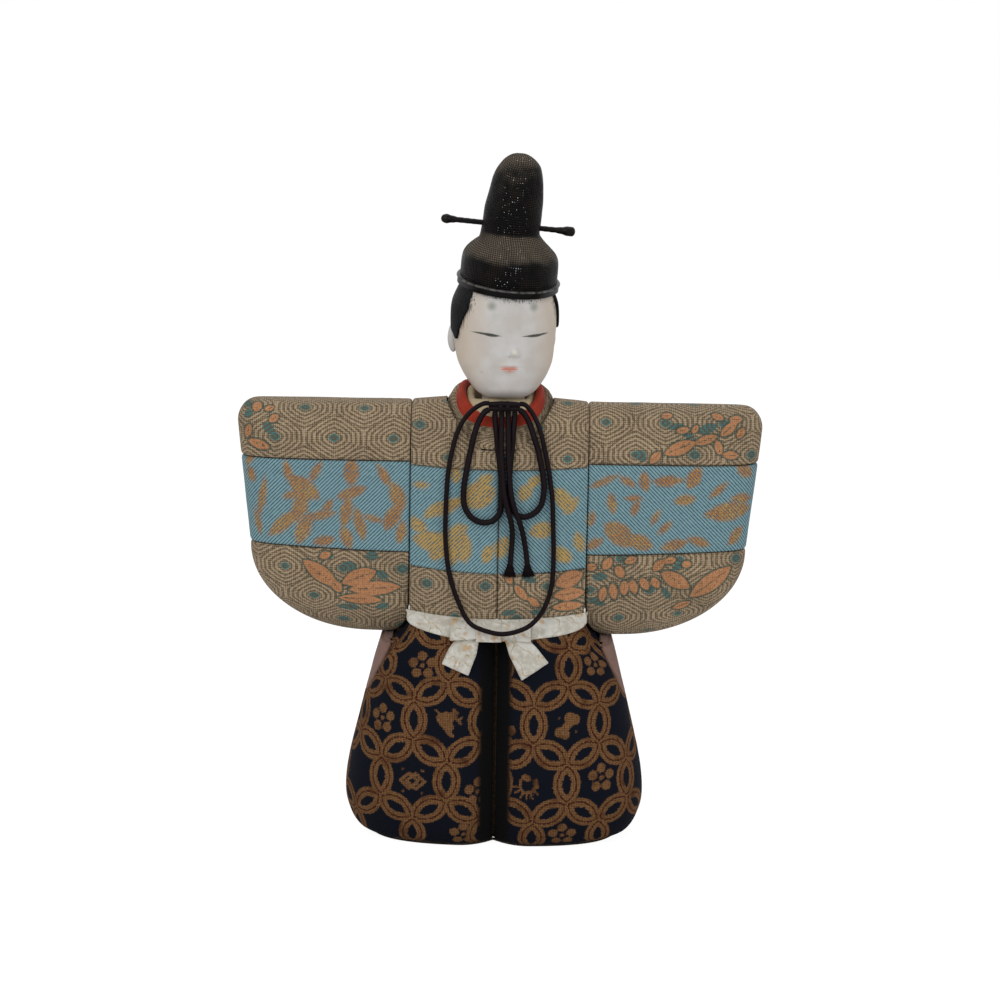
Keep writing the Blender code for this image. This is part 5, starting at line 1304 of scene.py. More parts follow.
CREPE_LOOK = (crepe_shade(), "trouser_cloth", {
    "charm": stroke_distance(CHARMS),
    # Painted shade: 0 in the pleat, rising to 1 a little way out of it.
    "pleat": lambda u, v: np.maximum(u * np.sign(u.mean()) - PLEAT_REST, 0.0) / PLEAT_SHADE,
})
SIDE_LOOK = (plain_shade("side_cloth", SIDE_CLOTH_DARK, SIDE_CLOTH_COLOUR, 0.5), "side_cloth", {})
BASE_LOOK = (plain_shade("foot_cloth", srgb(40, 34, 30), srgb(70, 60, 52), 0.9), "base_cloth", {})


def dress_legs():
    gap = TUCK / 4.0

    def leg(side, facing):
        def form(v, u):
            height = crease_height(v)
            edge = trouser_width(height) * crease_share(facing, height, gap)
            x = edge * math.sin(u * math.pi / 2.0)
            height = leg_height(v, x)
            share = min(x / trouser_width(height), crease_share(facing, height, gap))
            return trouser_point(side, facing, share, height)
        return form

    def strip(side):
        def form(v, u):
            height = crease_height(mix(*SIDE_ROW_SHARES, v))
            facing = -1 if u < 0.5 else 1
            power = trouser_roundness(height) / 2.0
            spread = math.acos(crease_share(facing, height, -gap) ** power) * abs(2.0 * u - 1.0)
            return trouser_point(side, facing, math.cos(spread) ** (1.0 / power), height)
        return form

    for side, word, charm in ((-1, "left", LEFT_CHARM), (1, "right", RIGHT_CHARM)):
        reach = abs(charm[0]) / (TROUSER_HALF_WIDTH * WIDTH_SHARES[4][1])
        anchor = (LEG_ANCHOR_ROW_SHARE, math.asin(reach) / (math.pi / 2.0))
        for facing, place in ((-1, "front"), (1, "back")):
            tucked_panel(
                f"leg_{place}_{word}", f"trouser_{place}_{word}", leg(side, facing), CREPE_LOOK,
                tucked=(False, True, True, True), anchor=anchor, cloth_start=charm,
            )
        tucked_panel(
            f"side_strip_{word}", f"trouser_side_{word}", strip(side), SIDE_LOOK,
            tucked=(True, False, True, True),
        )


def close_feet():
    """The flat cloth under the feet, from its middle out to its edge and over it."""
    bottom = BASE_CLOTH + CLEARANCE
    turns = np.linspace(0.0, 2.0 * math.pi, 181)
    rings = []
    for reach, height in ((0.0, 0.0), (0.5, 0.0), (0.99, 0.0), (1.0, BASE_EDGE), (1.0, BASE_CLOTH)):
        ring = []
        for turn in turns:
            facing = -1 if math.cos(turn) > 0.0 else 1
            share = abs(math.sin(turn)) ** (2.0 / TROUSER_ROUNDNESS)
            x, y, _ = trouser_point(math.copysign(1.0, math.sin(turn)), facing, share, bottom)
            spot = Vector((x, y, 0.0))
            spot *= reach * (1.0 - BASE_MARGIN / max(spot.length, BASE_MARGIN))
            ring.append((spot.x, spot.y, height))
        rings.append(ring)
    points = np.array(rings)
    mesh = shaped_grid("foot_cloth", points, points[..., :2])
    shade, slot, _ = BASE_LOOK
    piece = finish_piece("foot_cloth", mesh, shade, slot)
    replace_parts(piece, "base_cloth")


dress_legs()
close_feet()

# Sash
# A flat ivory silk ribbon round the waist with a flat bow in front: a knot, two
# short loops and two ends. The ribbon is slightly creased and has worn gold lines.
SASH_PROUD = 0.0009
SASH_END_RISE = 0.0003
BOW_KNOT_CENTRE = -0.0028
BOW_KNOT_WIDTH = 0.0092
BOW_LEFT_LOOP = 0.0092
BOW_RIGHT_LOOP = 0.0105
BOW_TAIL_WIDTH = 0.0094
BOW_LEFT_TAIL = ((-0.0100, 0.0768), (-0.0148, 0.0656))
BOW_RIGHT_TAIL = ((0.0066, 0.0768), (0.0142, 0.0654))
KNOT_SWELL = 0.0026
LOOP_SWELL = 0.0018
LOOP_FOLD = 0.0003
KNOT_PLEAT = 0.00045
TAIL_BOW = 0.0006
TAIL_CREASE = 0.0004
SILK_PITCH = 0.34
SILK_RELIEF = 0.00006
SILK_LIGHT = srgb(212, 210, 202)
SILK_DARK = srgb(184, 178, 164)
SILK_GOLD = srgb(158, 132, 84)
SILK_STAIN = srgb(190, 152, 104)


def silk_shade():
    """Ivory silk with crackled veins of gold and darker worn patches."""
    shade, tree, shader = new_shade("sash_silk", 0.6, 0.1, 0.15)
    across, up = place_effect(tree, CLOTH_PLACE)
    weave = place_effect(tree, WEAVE, across, up, SILK_PITCH)[0]
    fine = place_effect(tree, FLECKS, 1.6, 2.0)[0]
    broad = place_effect(tree, FLECKS, 6.5, 1.0)[0]
    vein = abs(broad - 0.5)
    vein = vein + fine * 0.12 - 0.06
    marks = step(vein, 0.035, 0.005) * step(fine, 0.40, 0.56)
    soil = fine * 0.6 + broad * 0.5
    colour = tint(step(soil, 0.35, 0.7), SILK_DARK, SILK_LIGHT)
    stained = step(place_effect(tree, FLECKS, 5.0, 2.0)[0], 0.60, 0.70) * 0.7
    colour = tint(stained, colour, SILK_STAIN)
    tint(marks * 0.8, colour, SILK_GOLD).into(shader.inputs["Base Color"])
    (marks * 0.4).into(shader.inputs["Metallic"])
    bump(shader, weave, SILK_RELIEF, 0.6)
    return shade


SILK_LOOK = (silk_shade(), "sash_silk", {})


def sash_high(x):
    return seam_height(HEM, HEM_CURVE, x) + CLOTH + SASH_END_RISE * (x / SASH_HALF_LENGTH) ** 8


def sash_depth(facing, x, height):
    """The waist's surface, which bridges the pleat between the legs and leans in to the hem."""
    share = min(abs(x) / trouser_width(TROUSER_HEIGHT), 1.0)
    legs = trouser_depth(facing, SLEEVE_BOTTOM) * rounded(share, trouser_roundness(TROUSER_HEIGHT))
    body = abs(torso_point(facing, x, HEM + HEM_CURVE)[1]) - TUCK_ROUND
    rise = (height - sash_low(x)) / (sash_high(x) - sash_low(x))
    return mix(max(legs, body), body, min(max(rise, 0.0), 1.0))


def ribbon(name, node, form, tucked=(True,) * 4):
    tucked_panel(name, node, form, SILK_LOOK, tucked=tucked)


def tie_sash():
    def band(facing):
        def form(v, u):
            x = mix(-SASH_HALF_LENGTH, SASH_HALF_LENGTH, u)
            height = mix(sash_low(x), sash_high(x), v)
            fold = LOOP_FOLD * math.sin(2.0 * math.pi * (1.5 * v + 3.0 * u)) * math.sin(math.pi * v)
            return (x, facing * (sash_depth(facing, x, height) + SASH_PROUD + fold), height)
        return form

    def pad(ends, low, high, thick, pinch):
        """A folded pad over the sash; pinch gives the end drawn in by the knot."""
        def form(v, u):
            x = mix(ends[0], ends[1], u)
            away = 1.0 - u if pinch > 0 else u
            spread = 1.0 + (0.16 * (1.0 - away) - 0.10 * away if pinch else 0.0)
            middle = (low + high) / 2.0
            height = middle + (mix(low, high, v) - middle) * spread
            pleats = KNOT_PLEAT * abs(math.sin(2.5 * math.pi * v)) * (away if pinch else 1.0)
            crown = thick * rounded(2.0 * u - 1.0, 3.0) ** 0.5 * rounded(2.0 * v - 1.0, 4.0) ** 0.5
            return (x, -(sash_depth(-1, x, height) + SASH_PROUD + CLEARANCE + crown - pleats), height)
        return form

    def tail(top, tip, half_width):
        def form(v, u):
            row, column = 1.0 - v, 2.0 * u - 1.0
            x = mix(top[0], tip[0], row) + half_width * column * mix(0.72, 1.0, min(2.5 * row, 1.0))
            slope = (tip[0] - top[0]) / (top[1] - tip[1])
            height = mix(top[1] + CLOTH, tip[1] + half_width * column * slope, row)
            shape = rounded(abs(x) / trouser_width(height), trouser_roundness(height))
            depth = trouser_depth(-1, height) * shape + CLOTH + CLEARANCE
            bow = TAIL_BOW * rounded(2.0 * v - 1.0, 2.0)
            crease = TAIL_CREASE * math.sin(math.pi * (column + 0.4) * 1.4) * (1.0 - 0.6 * row)
            return (x, -(depth + bow + crease), height)
        return form

    ribbon("sash_strip_front", "sash_front", band(-1))
    ribbon("sash_strip_back", "sash_back", band(1))
    knot_left, knot_right = BOW_KNOT_CENTRE - BOW_KNOT_WIDTH / 2.0, BOW_KNOT_CENTRE + BOW_KNOT_WIDTH / 2.0
    low, high = TROUSER_HEIGHT + CLEARANCE, HEM - CLEARANCE
    left = (knot_left - BOW_LEFT_LOOP, knot_left + TUCK)
    right = (knot_right - TUCK, knot_right + BOW_RIGHT_LOOP)
    ribbon("knot_of_sash", "bow_knot", pad((knot_left, knot_right), low - TUCK, high + TUCK, KNOT_SWELL, 0))
    ribbon("loop_left", "bow_loop_left", pad(left, low, high, LOOP_SWELL, -1))
    ribbon("loop_right", "bow_loop_right", pad(right, low, high, LOOP_SWELL, 1))
    ribbon("ribbon_end_left", "bow_tail_left", tail(*BOW_LEFT_TAIL, BOW_TAIL_WIDTH / 2.0))
    ribbon("ribbon_end_right", "bow_tail_right", tail(*BOW_RIGHT_TAIL, BOW_TAIL_WIDTH / 2.0))


tie_sash()

# Collars
# Three folded collars stand one inside the other in a pocket round the neck: the
# brocade robe outside, then red crepe, then pale silk.
COLLAR_SEAT = 0.1521
COLLAR_SLOPE = 0.466
COLLAR_ROUNDNESS = 2.5
COLLAR_COLUMNS = 150
NECK_EDGE_SHARE = 0.94
ROBE_COLLAR = (0.0193, 0.0176, 0.0155)
RED_COLLAR = (0.0158, 0.0143, 0.0138)
PALE_COLLAR = (0.0127, 0.0114, 0.0121)
ROBE_COLLAR_HEIGHTS = (0.0058, 0.0080, 0.0070)
ROBE_COLLAR_THICK = 0.0034
RED_COLLAR_HEIGHTS = (0.0084, 0.0118, 0.0075)
RED_COLLAR_THICK = 0.0026
PALE_COLLAR_HEIGHTS = (0.0132, 0.0100, 0.0075)
PALE_COLLAR_THICK = 0.0030
RED_CREPE = srgb(180, 66, 44)
RED_CREPE_DARK = srgb(132, 38, 24)
PALE_SILK = srgb(212, 198, 166)
PALE_SILK_DARK = srgb(178, 156, 118)
COLLAR_BULGE = 0.0010
COLLAR_RIPPLE = 0.0003
ROBE_COLLAR_LEAN = 0.0022
RED_COLLAR_LEAN = 0.0016
PALE_COLLAR_LEAN = 0.0008


def collar_profile(thick):
    """Inset, share of the height and rise, up outside, over the fold and down inside."""
    outside = []
    for share in np.linspace(0.0, 1.0, 16)[:-1]:
        outside.append((-COLLAR_BULGE * math.sin(math.pi * share) ** 0.5, share, 0.0))
    fold = []
    for turn in np.linspace(0.0, math.pi, 17):
        fold.append((thick / 2.0 * (1.0 - math.cos(turn)), 1.0, thick / 2.0 * math.sin(turn)))
    inside = [(thick, share, 0.0) for share in np.linspace(1.0, 0.0, 12)[1:]]
    return outside + fold + inside


def collar_point(sizes, heights, thick, lean, angle, inset, share, rise):
    """Angle runs from 0 behind the neck round to the front at half a turn."""
    width, front, back = (size - inset for size in sizes)
    sine, cosine = math.sin(angle), -math.cos(angle)
    across = math.copysign(abs(sine) ** (2.0 / COLLAR_ROUNDNESS), sine)
    ahead = math.copysign(abs(cosine) ** (2.0 / COLLAR_ROUNDNESS), cosine)
    top = mix(heights[1], heights[0] if ahead > 0.0 else heights[2], ahead**2) - thick / 2.0
    inwards = lean * (ahead + 1.0) / 2.0 * share
    y = (inwards - (front if ahead > 0.0 else back)) * ahead
    return ((inwards - width) * across, y, COLLAR_SEAT + y * COLLAR_SLOPE + mix(CLEARANCE, top, share) + rise)


def dress_collar(name, node, sizes, heights, thick, lean, look):
    shade, slot, motifs = look
    turns = np.linspace(0.0, 2.0 * math.pi, COLLAR_COLUMNS + 1)
    points = np.array([
        [collar_point(sizes, heights, thick, lean, turn, *part) for turn in turns]
        for part in collar_profile(thick)
    ])
    over, up = arc_lengths(points, 1), arc_lengths(points, 0)
    ripple = np.array([[noise.noise(Vector(point) / PUCKER_WIDTH) for point in line] for line in points])
    points[..., 2] += COLLAR_RIPPLE * ripple
    points[..., :2] *= 1.0 + 0.012 * ripple[..., None]
    places = np.stack((over, up), axis=2)
    values = {key: np.full(over.shape, FAR_AWAY) for key in motifs}
    mesh = shaped_grid(name, points, places, values)
    bm = bmesh.new()
    bm.from_mesh(mesh)
    bmesh.ops.remove_doubles(bm, verts=bm.verts, dist=1e-6)
    rim = [edge for edge in bm.edges if edge.is_boundary]
    bmesh.ops.bridge_loops(bm, edges=rim)
    bmesh.ops.recalc_face_normals(bm, faces=bm.faces)
    bm.to_mesh(mesh)
    bm.free()
    piece = finish_piece(name, mesh, shade, slot)
    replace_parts(piece, node)


def open_neck(piece):
    """Cut the yoke's neck hole and turn its edge down into the pocket."""
    def measure(spot):
        reach = ROBE_COLLAR[1] if spot.y < 0.0 else ROBE_COLLAR[2]
        parts = (spot.x / (ROBE_COLLAR[0] + CLEARANCE), spot.y / (reach + CLEARANCE))
        return sum(abs(part) ** COLLAR_ROUNDNESS for part in parts) ** (1.0 / COLLAR_ROUNDNESS)

    def pocket_floor(spot):
        return COLLAR_SEAT + spot.y * COLLAR_SLOPE

    bm = bmesh.new()
    bm.from_mesh(piece.data)
    old = {edge for edge in bm.edges if edge.is_boundary}
    middles = {face: face.calc_center_median() for face in bm.faces}
    inside = [
        face for face, middle in middles.items()
        if measure(middle) < 1.0 and middle.z > pocket_floor(middle)
    ]
    bmesh.ops.delete(bm, geom=inside, context="FACES")
    rim = [edge for edge in bm.edges if edge.is_boundary and edge not in old]
    for corner in {corner for edge in rim for corner in edge.verts}:
        share = measure(corner.co)
        if share < NECK_EDGE_SHARE:
            corner.co.z = pocket_floor(corner.co)
        else:
            corner.co.x /= share
            corner.co.y /= share
    lower = bmesh.ops.extrude_edge_only(bm, edges=rim)["geom"]
    for corner in [part for part in lower if isinstance(part, bmesh.types.BMVert)]:
        corner.co.z -= CLOTH
        corner.co.x *= 0.985
        corner.co.y *= 0.985
    area = sum(face.calc_area() for face in bm.faces)
    bm.to_mesh(piece.data)
    bm.free()
    return area


def dress_neck():
    red = (plain_shade("red_crepe", RED_CREPE_DARK, RED_CREPE, 0.6, 0.7), "red_silk", {})
    pale = (plain_shade("pale_silk", PALE_SILK_DARK, PALE_SILK, 0.4, 0.6), "collar_silk", {})
    dress_collar(
        "collar_of_robe", "robe_collar", ROBE_COLLAR, ROBE_COLLAR_HEIGHTS, ROBE_COLLAR_THICK,
        ROBE_COLLAR_LEAN, BROCADE_LOOK,
    )
    dress_collar(
        "collar_of_crepe", "red_collar", RED_COLLAR, RED_COLLAR_HEIGHTS, RED_COLLAR_THICK,
        RED_COLLAR_LEAN, red,
    )
    dress_collar(
        "collar_of_silk", "pale_collar", PALE_COLLAR, PALE_COLLAR_HEIGHTS, PALE_COLLAR_THICK,
        PALE_COLLAR_LEAN, pale,
    )


dress_neck()
yoke_area = open_neck(YOKE)

# Head
# Moulded paste under polished shell white, with a painted face. The head is turned
# a little to its left on the neck, which drops into a socket in the body.
HEAD_X = 0.001
HEAD_YAW = math.radians(8.0)
CHIN = 0.162
HEAD_HEIGHT = 0.0535
HEAD_HALF_WIDTH = 0.0184
FACE_DEPTH = 0.0177
NAPE_DEPTH = 0.0197
HEAD_ROUNDNESS = 2.25
JAW_FORWARD = 0.0045
NECK_RADIUS = 0.0078
NECK_BOTTOM = 0.1473
JAW_SHARES = ((0.0, 1.0), (0.09, 0.95), (0.2, 0.5), (0.33, 0.0), (1.0, 0.0))
HEAD_WIDTH_SHARES = (
    (0.0, 0.425), (0.03, 0.56), (0.09, 0.705), (0.155, 0.825), (0.24, 0.925), (0.365, 0.975),
    (0.5, 1.0), (0.62, 0.975), (0.71, 0.87), (0.77, 0.775), (0.82, 0.71), (0.88, 0.57),
    (0.94, 0.39), (0.98, 0.2), (1.0, 0.05),
)
FACE_SHARES = (
    (0.0, 0.69), (0.04, 0.81), (0.09, 0.86), (0.155, 0.92), (0.24, 0.97), (0.365, 0.99),
    (0.5, 1.0), (0.62, 0.985), (0.71, 0.90), (0.77, 0.82), (0.82, 0.75), (0.88, 0.60),
    (0.94, 0.42), (0.98, 0.22), (1.0, 0.05),
)
NAPE_SHARES = (
    (0.0, 0.42), (0.04, 0.44), (0.09, 0.49), (0.155, 0.62), (0.24, 0.79), (0.365, 0.93),
    (0.5, 0.995), (0.62, 1.0), (0.71, 0.94), (0.77, 0.87), (0.82, 0.77), (0.88, 0.62),
    (0.94, 0.44), (0.98, 0.23), (1.0, 0.05),
)
CHIN_START = 0.0002
FEATURES_LOW = 0.1710
FEATURES_HIGH = 0.1885
FACE_BACK = -0.004
TEMPLE_BACK = 0.004
PAINT_RELIEF = 0.0002
EAR_FLARE = 0.35
EAR_SHARE = 0.36449
EAR_LEAN = math.radians(-12.0)
EAR_SIZE = (0.0019, 0.0033, 0.0052)
EAR_BACK = 0.0058
EAR_INSETS = {-1: 0.0005, 1: 0.0013}
FACE_SWELLS = (
    (0.7, 182.6, 1.6, 3.8, 0.6), (0.9, 178.9, 1.5, 1.4, 1.5), (-0.9, 177.8, 0.8, 0.7, 0.55),
    (2.4, 177.8, 0.8, 0.7, 0.55), (-0.5, 174.2, 2.6, 0.65, 0.45), (-0.5, 172.5, 2.0, 0.7, 0.5),
    (-0.5, 173.4, 2.8, 0.22, -0.4), (0.0, 170.2, 3.0, 1.1, -0.3), (0.0, 166.4, 4.2, 2.4, 0.45),
    (-8.6, 186.6, 4.0, 1.8, 0.35), (8.6, 186.6, 4.0, 1.8, 0.35), (-8.6, 184.8, 4.4, 0.7, -0.12),
    (8.6, 184.8, 4.4, 0.7, -0.12), (-3.8, 187.0, 1.9, 3.0, -0.35), (3.8, 187.0, 1.9, 3.0, -0.35),
    (0.0, 176.6, 0.7, 1.0, -0.15),
)
EYE_STROKES = (
    (-8.6, 185.25, 10.4, 0.75, -6.8), (-7.3, 185.0, 6.2, 1.1, -7.5),
    (8.7, 184.85, 10.0, 0.7, 4.6), (8.4, 184.7, 6.4, 1.0, 3.0), (10.8, 185.05, 5.4, 0.6, 9.0),
)
LIP_LEAVES = ((-1.7, 173.3, 3.6, 1.3, 4.0), (0.8, 173.3, 3.6, 1.3, -4.0), (-0.45, 172.2, 4.4, 1.1, 0.0))
LIP_LINE = ((-1.6, 172.9, 3.6, 0.5, 3.0), (0.75, 172.9, 3.6, 0.5, -3.0), (-0.45, 172.7, 1.4, 0.5, 0.0))
# The first two are the eyebrow dots in ink; the next two are painted shadows under the nose.
BROW_DOTS_AND_NOSE_SHADOWS = ((-7.0, 195.2, 1.6), (8.0, 194.9, 1.6), (-0.5, 177.6, 0.2), (0.8, 177.0, 0.1), (-9.9, 171.6, 0.2))
# Painted highlight on the tip of the nose: its middle in millimetres and its colour.
NOSE_TIP = (1.2, 178.9)
NOSE_HIGHLIGHT = srgb(226, 222, 204)
HAIRLINE = 197.9
HAIRLINE_BEND = 0.012
HAIR_SIDES = ((176.0, 30.0), (181.5, 20.0), (184.5, 17.4), (188.3, 16.4), (193.4, 14.4), (201.5, 12.6))
SHELL_WHITE = srgb(200, 198, 196)
SHELL_SHADE = srgb(190, 184, 178)
SHELL_WARM = srgb(204, 190, 174)
LIP_RED = srgb(214, 132, 104)
LIP_DARK = srgb(176, 74, 44)
EYE_INK = srgb(66, 68, 62)
BROW_AND_NOSE_SHADOW_INK = srgb(134, 138, 126)
HAIR_INK = srgb(16, 16, 18)


def head_point(angle, height):
    """Angle runs from 0 at the face round by the right ear to the nape at half a turn."""
    share = (height - CHIN) / HEAD_HEIGHT
    width = HEAD_HALF_WIDTH * along(HEAD_WIDTH_SHARES, share)
    sine, cosine = math.sin(angle), math.cos(angle)
    across = math.copysign(abs(sine) ** (2.0 / HEAD_ROUNDNESS), sine)
    ahead = math.copysign(abs(cosine) ** (2.0 / HEAD_ROUNDNESS), cosine)
    jaw = JAW_FORWARD * along(JAW_SHARES, share)
    if ahead > 0.0:
        reach = FACE_DEPTH * along(FACE_SHARES, share) - jaw
    else:
        reach = NAPE_DEPTH * along(NAPE_SHARES, share) + jaw
    return (width * across, -reach * ahead - jaw, height)


def turned_head(points):
    """Points of the head's own frame, brought to where the turned head stands."""
    turn = np.array(Matrix.Rotation(HEAD_YAW, 3, "Z"))
    return points @ turn.T + np.array((HEAD_X, 0.0, 0.0))


def strand_effect():
    """Fine strands that run up the piece, so many to the metre across and along it."""
    group, given, out = effect("strands", ("Across", "Along", "Detail"), ("Level",))
    place = group.nodes.new("ShaderNodeTexCoord")
    scale = group.nodes.new("ShaderNodeCombineXYZ")
    for socket, value in zip(scale.inputs, (given[0], given[0], given[1])):
        value.into(socket)
    stretch = group.nodes.new("ShaderNodeVectorMath")
    stretch.operation = "MULTIPLY"
    group.links.new(place.outputs["Object"], stretch.inputs[0])
    group.links.new(scale.outputs["Vector"], stretch.inputs[1])
    noise_of_strands = group.nodes.new("ShaderNodeTexNoise")
    noise_of_strands.inputs["Scale"].default_value = 1.0
    group.links.new(stretch.outputs["Vector"], noise_of_strands.inputs["Vector"])
    given[2].into(noise_of_strands.inputs["Detail"])
    group.links.new(noise_of_strands.outputs["Fac"], out[0])
    return group


STRANDS = strand_effect()


def shell_shade():
    """Polished shell white with painted strokes: eyes, lips, eyebrow dots, hair roots; painted nose highlight
    and shadows.
    """
    shade, tree, shader = new_shade("shell_white", 0.42, 0.0, 0.3)
    soil = place_effect(tree, FLECKS, 7.0, 3.0)[0]
    fine = place_effect(tree, FLECKS, 0.5, 1.0)[0]
    colour = tint(step(soil, 0.30, 0.70), SHELL_SHADE, SHELL_WHITE)
    colour = tint(attribute(tree, "cheek"), colour, SHELL_WARM)
    # Painted highlight on the tip of the nose.
    tip = step(attribute(tree, "tip"), 1.6, 0.2) * 0.75
    colour = tint(tip, colour, NOSE_HIGHLIGHT)
    # Eyebrow dots in ink, and painted shadows under the nose.
    brow_and_nose_shadow = attribute(tree, "brow_and_nose_shadow") + fine * 0.3 - 0.15
    colour = tint(step(brow_and_nose_shadow, 0.8, -1.4) * 0.8, colour, BROW_AND_NOSE_SHADOW_INK)
    colour = tint(step(attribute(tree, "lips"), 0.6, -0.5) * 0.55, colour, LIP_RED)
    colour = tint(step(attribute(tree, "lip_line"), 0.25, -0.2) * 0.75, colour, LIP_DARK)
    eye = attribute(tree, "eyes") + fine * 0.2 - 0.1
    colour = tint(step(eye, 0.22, -0.18), colour, EYE_INK)
    strands = place_effect(tree, STRANDS, 3400.0, 150.0, 2.0)[0]
    limit = attribute(tree, "hair_reach") * 0.11 + 0.43
    root = step(strands - limit, -0.02, 0.06) * 0.8
    colour = tint(root, colour, HAIR_INK)
    colour.into(shader.inputs["Base Color"])
    bump(shader, soil, PAINT_RELIEF, 0.25)
    return shade


def head_mesh():
    front = np.radians(np.linspace(-60.0, 60.0, 151))
    back = np.radians(np.linspace(60.0, 300.0, 81))[1:]
    angles = np.concatenate((front, back))
    rows = np.concatenate((
        np.linspace(CHIN + CHIN_START, FEATURES_LOW, 36)[:-1],
        np.linspace(FEATURES_LOW, FEATURES_HIGH, 111)[:-1],
        np.linspace(FEATURES_HIGH, CHIN + HEAD_HEIGHT, 90),
    ))
    points = np.array([[head_point(angle, height) for angle in angles] for height in rows])
    x, z = points[..., 0] * MILLIMETRES, points[..., 2] * MILLIMETRES
    facing = points[..., 1] < FACE_BACK
    swell = sum(
        height * np.exp(-((x - at_x) / wide) ** 2 - ((z - at_z) / tall) ** 2)
        for at_x, at_z, wide, tall, height in FACE_SWELLS
    )
    points[..., 1] -= np.where(facing, swell / MILLIMETRES, 0.0)
    hidden = np.where(facing, 0.0, FAR_AWAY)
    # Distance from the eyebrow dots and from the painted shadows under the nose.
    brow_and_nose_shadow = np.min([np.hypot(x - at_x, z - at_z) - size for at_x, at_z, size in BROW_DOTS_AND_NOSE_SHADOWS], axis=0)
    sides = np.interp(z, *zip(*HAIR_SIDES)) + np.where(x > 0.0, 2.4, 0.0)
    beside = np.where(points[..., 1] < TEMPLE_BACK, sides - np.abs(x) + 0.4, FAR_AWAY)
    values = {
        "eyes": leaf_distance(EYE_STROKES)(x, z) + hidden,
        "lips": leaf_distance(LIP_LEAVES)(x, z) + hidden,
        "lip_line": leaf_distance(LIP_LINE)(x, z) + hidden,
        "brow_and_nose_shadow": brow_and_nose_shadow + hidden,
        "hair_reach": np.minimum(HAIRLINE + HAIRLINE_BEND * (x - 3.0) ** 2 - z, beside),
        # tip: distance from the painted highlight on the nose tip.
        "tip": np.hypot(x - NOSE_TIP[0], z - NOSE_TIP[1]) + hidden,
        "cheek": np.clip((np.abs(x) - 7.0) / 9.0, 0.0, 1.0),
    }
    neck = np.array([
        [(NECK_RADIUS * math.sin(angle), -NECK_RADIUS * math.cos(angle), height) for angle in angles]
        for height in np.linspace(NECK_BOTTOM, CHIN, 10)
    ])
    points = np.concatenate((neck, points))
    for key, data in values.items():
        plain = 1.0 if key == "cheek" else FAR_AWAY
        values[key] = np.concatenate((np.full(neck.shape[:2], plain), data))
    return shaped_grid("head_shell", turned_head(points), values=values, closed=True)


def ear_mesh(side, word):
    bm = bmesh.new()
    bmesh.ops.create_uvsphere(bm, u_segments=40, v_segments=28, radius=1.0)
    spot = (side * (HEAD_HALF_WIDTH - EAR_INSETS[side]), EAR_BACK, CHIN + HEAD_HEIGHT * EAR_SHARE)
    place = (
        Matrix.Translation((HEAD_X, 0.0, 0.0)) @ Matrix.Rotation(HEAD_YAW, 4, "Z") @ Matrix.Translation(spot)
        @ Matrix.Rotation(EAR_LEAN, 4, "X") @ Matrix.Rotation(side * EAR_FLARE, 4, "Z")
        @ Matrix.Diagonal((*EAR_SIZE, 1.0))
    )
    for corner in bm.verts:
        x, y, z = corner.co
        if side * x > 0.0:
            hollow = math.exp(-(y / 0.45) ** 2 - ((z - 0.15) / 0.5) ** 2)
            fold = math.exp(-((y + 0.5) / 0.22) ** 2 - (z / 0.6) ** 2)
            corner.co.x -= side * (0.75 * hollow - 0.15 * fold)
        corner.co.y *= 1.0 - 0.28 * max(0.0, -z)
        corner.co = place @ corner.co
    mesh = bpy.data.meshes.new(f"ear_{word}")
    bm.to_mesh(mesh)
    bm.free()
    for key in ("eyes", "lips", "lip_line", "brow_and_nose_shadow", "hair_reach", "tip", "cheek"):
        layer = mesh.attributes.new(key, "FLOAT", "POINT")
        plain = 0.0 if key == "cheek" else FAR_AWAY
        layer.data.foreach_set("value", np.full(len(mesh.vertices), plain, dtype=np.float32))
    return mesh


def build_head():
    shade = shell_shade()
    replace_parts(finish_piece("head_shell", head_mesh(), shade, "chalk_white", "head"), "head")
    for side, word in ((-1, "left"), (1, "right")):
        finish_piece(f"ear_{word}", ear_mesh(side, word), shade, "chalk_white", "head")


build_head()

# Hair
# Combed black silk thread glued to the sides and back of the head in front of and
# behind the ears, its lower edge trimmed to the nape.
HAIR_THICK = 0.0009
HAIR_TOP = 0.2035
HAIR_EDGE_LEFT = (
    (50.5, 0.1936), (56.0, 0.1912), (62.5, 0.1884), (68.0, 0.1856), (73.0, 0.1828), (77.0, 0.1824),
    (84.0, 0.1840), (96.0, 0.1852), (118.0, 0.1872), (138.0, 0.1800), (159.0, 0.1735), (180.0, 0.1735),
)
HAIR_EDGE_RIGHT = (
    (70.0, 0.1960), (74.0, 0.1925), (79.0, 0.1888), (85.0, 0.1866), (96.0, 0.1856),
    (118.0, 0.1872), (138.0, 0.1800), (159.0, 0.1735), (180.0, 0.1735),
)
COMB_LINES = 260
COMB_DEPTH = 0.00006
COMB_START = 0.0003
HAIR_EDGE_THICK = 0.0002
HAIR_RELIEF = 0.0002
HAIR_DARK = srgb(9, 10, 11)
HAIR_LIGHT = srgb(34, 35, 37)


def hair_shade():
    shade, tree, shader = new_shade("combed_hair", 0.45, 0.0, 0.06)
    strands = place_effect(tree, STRANDS, 3200.0, 90.0, 3.0)[0]
    tint(step(strands, 0.35, 0.75), HAIR_DARK, HAIR_LIGHT).into(shader.inputs["Base Color"])
    bump(shader, strands, HAIR_RELIEF, 0.7)
    return shade


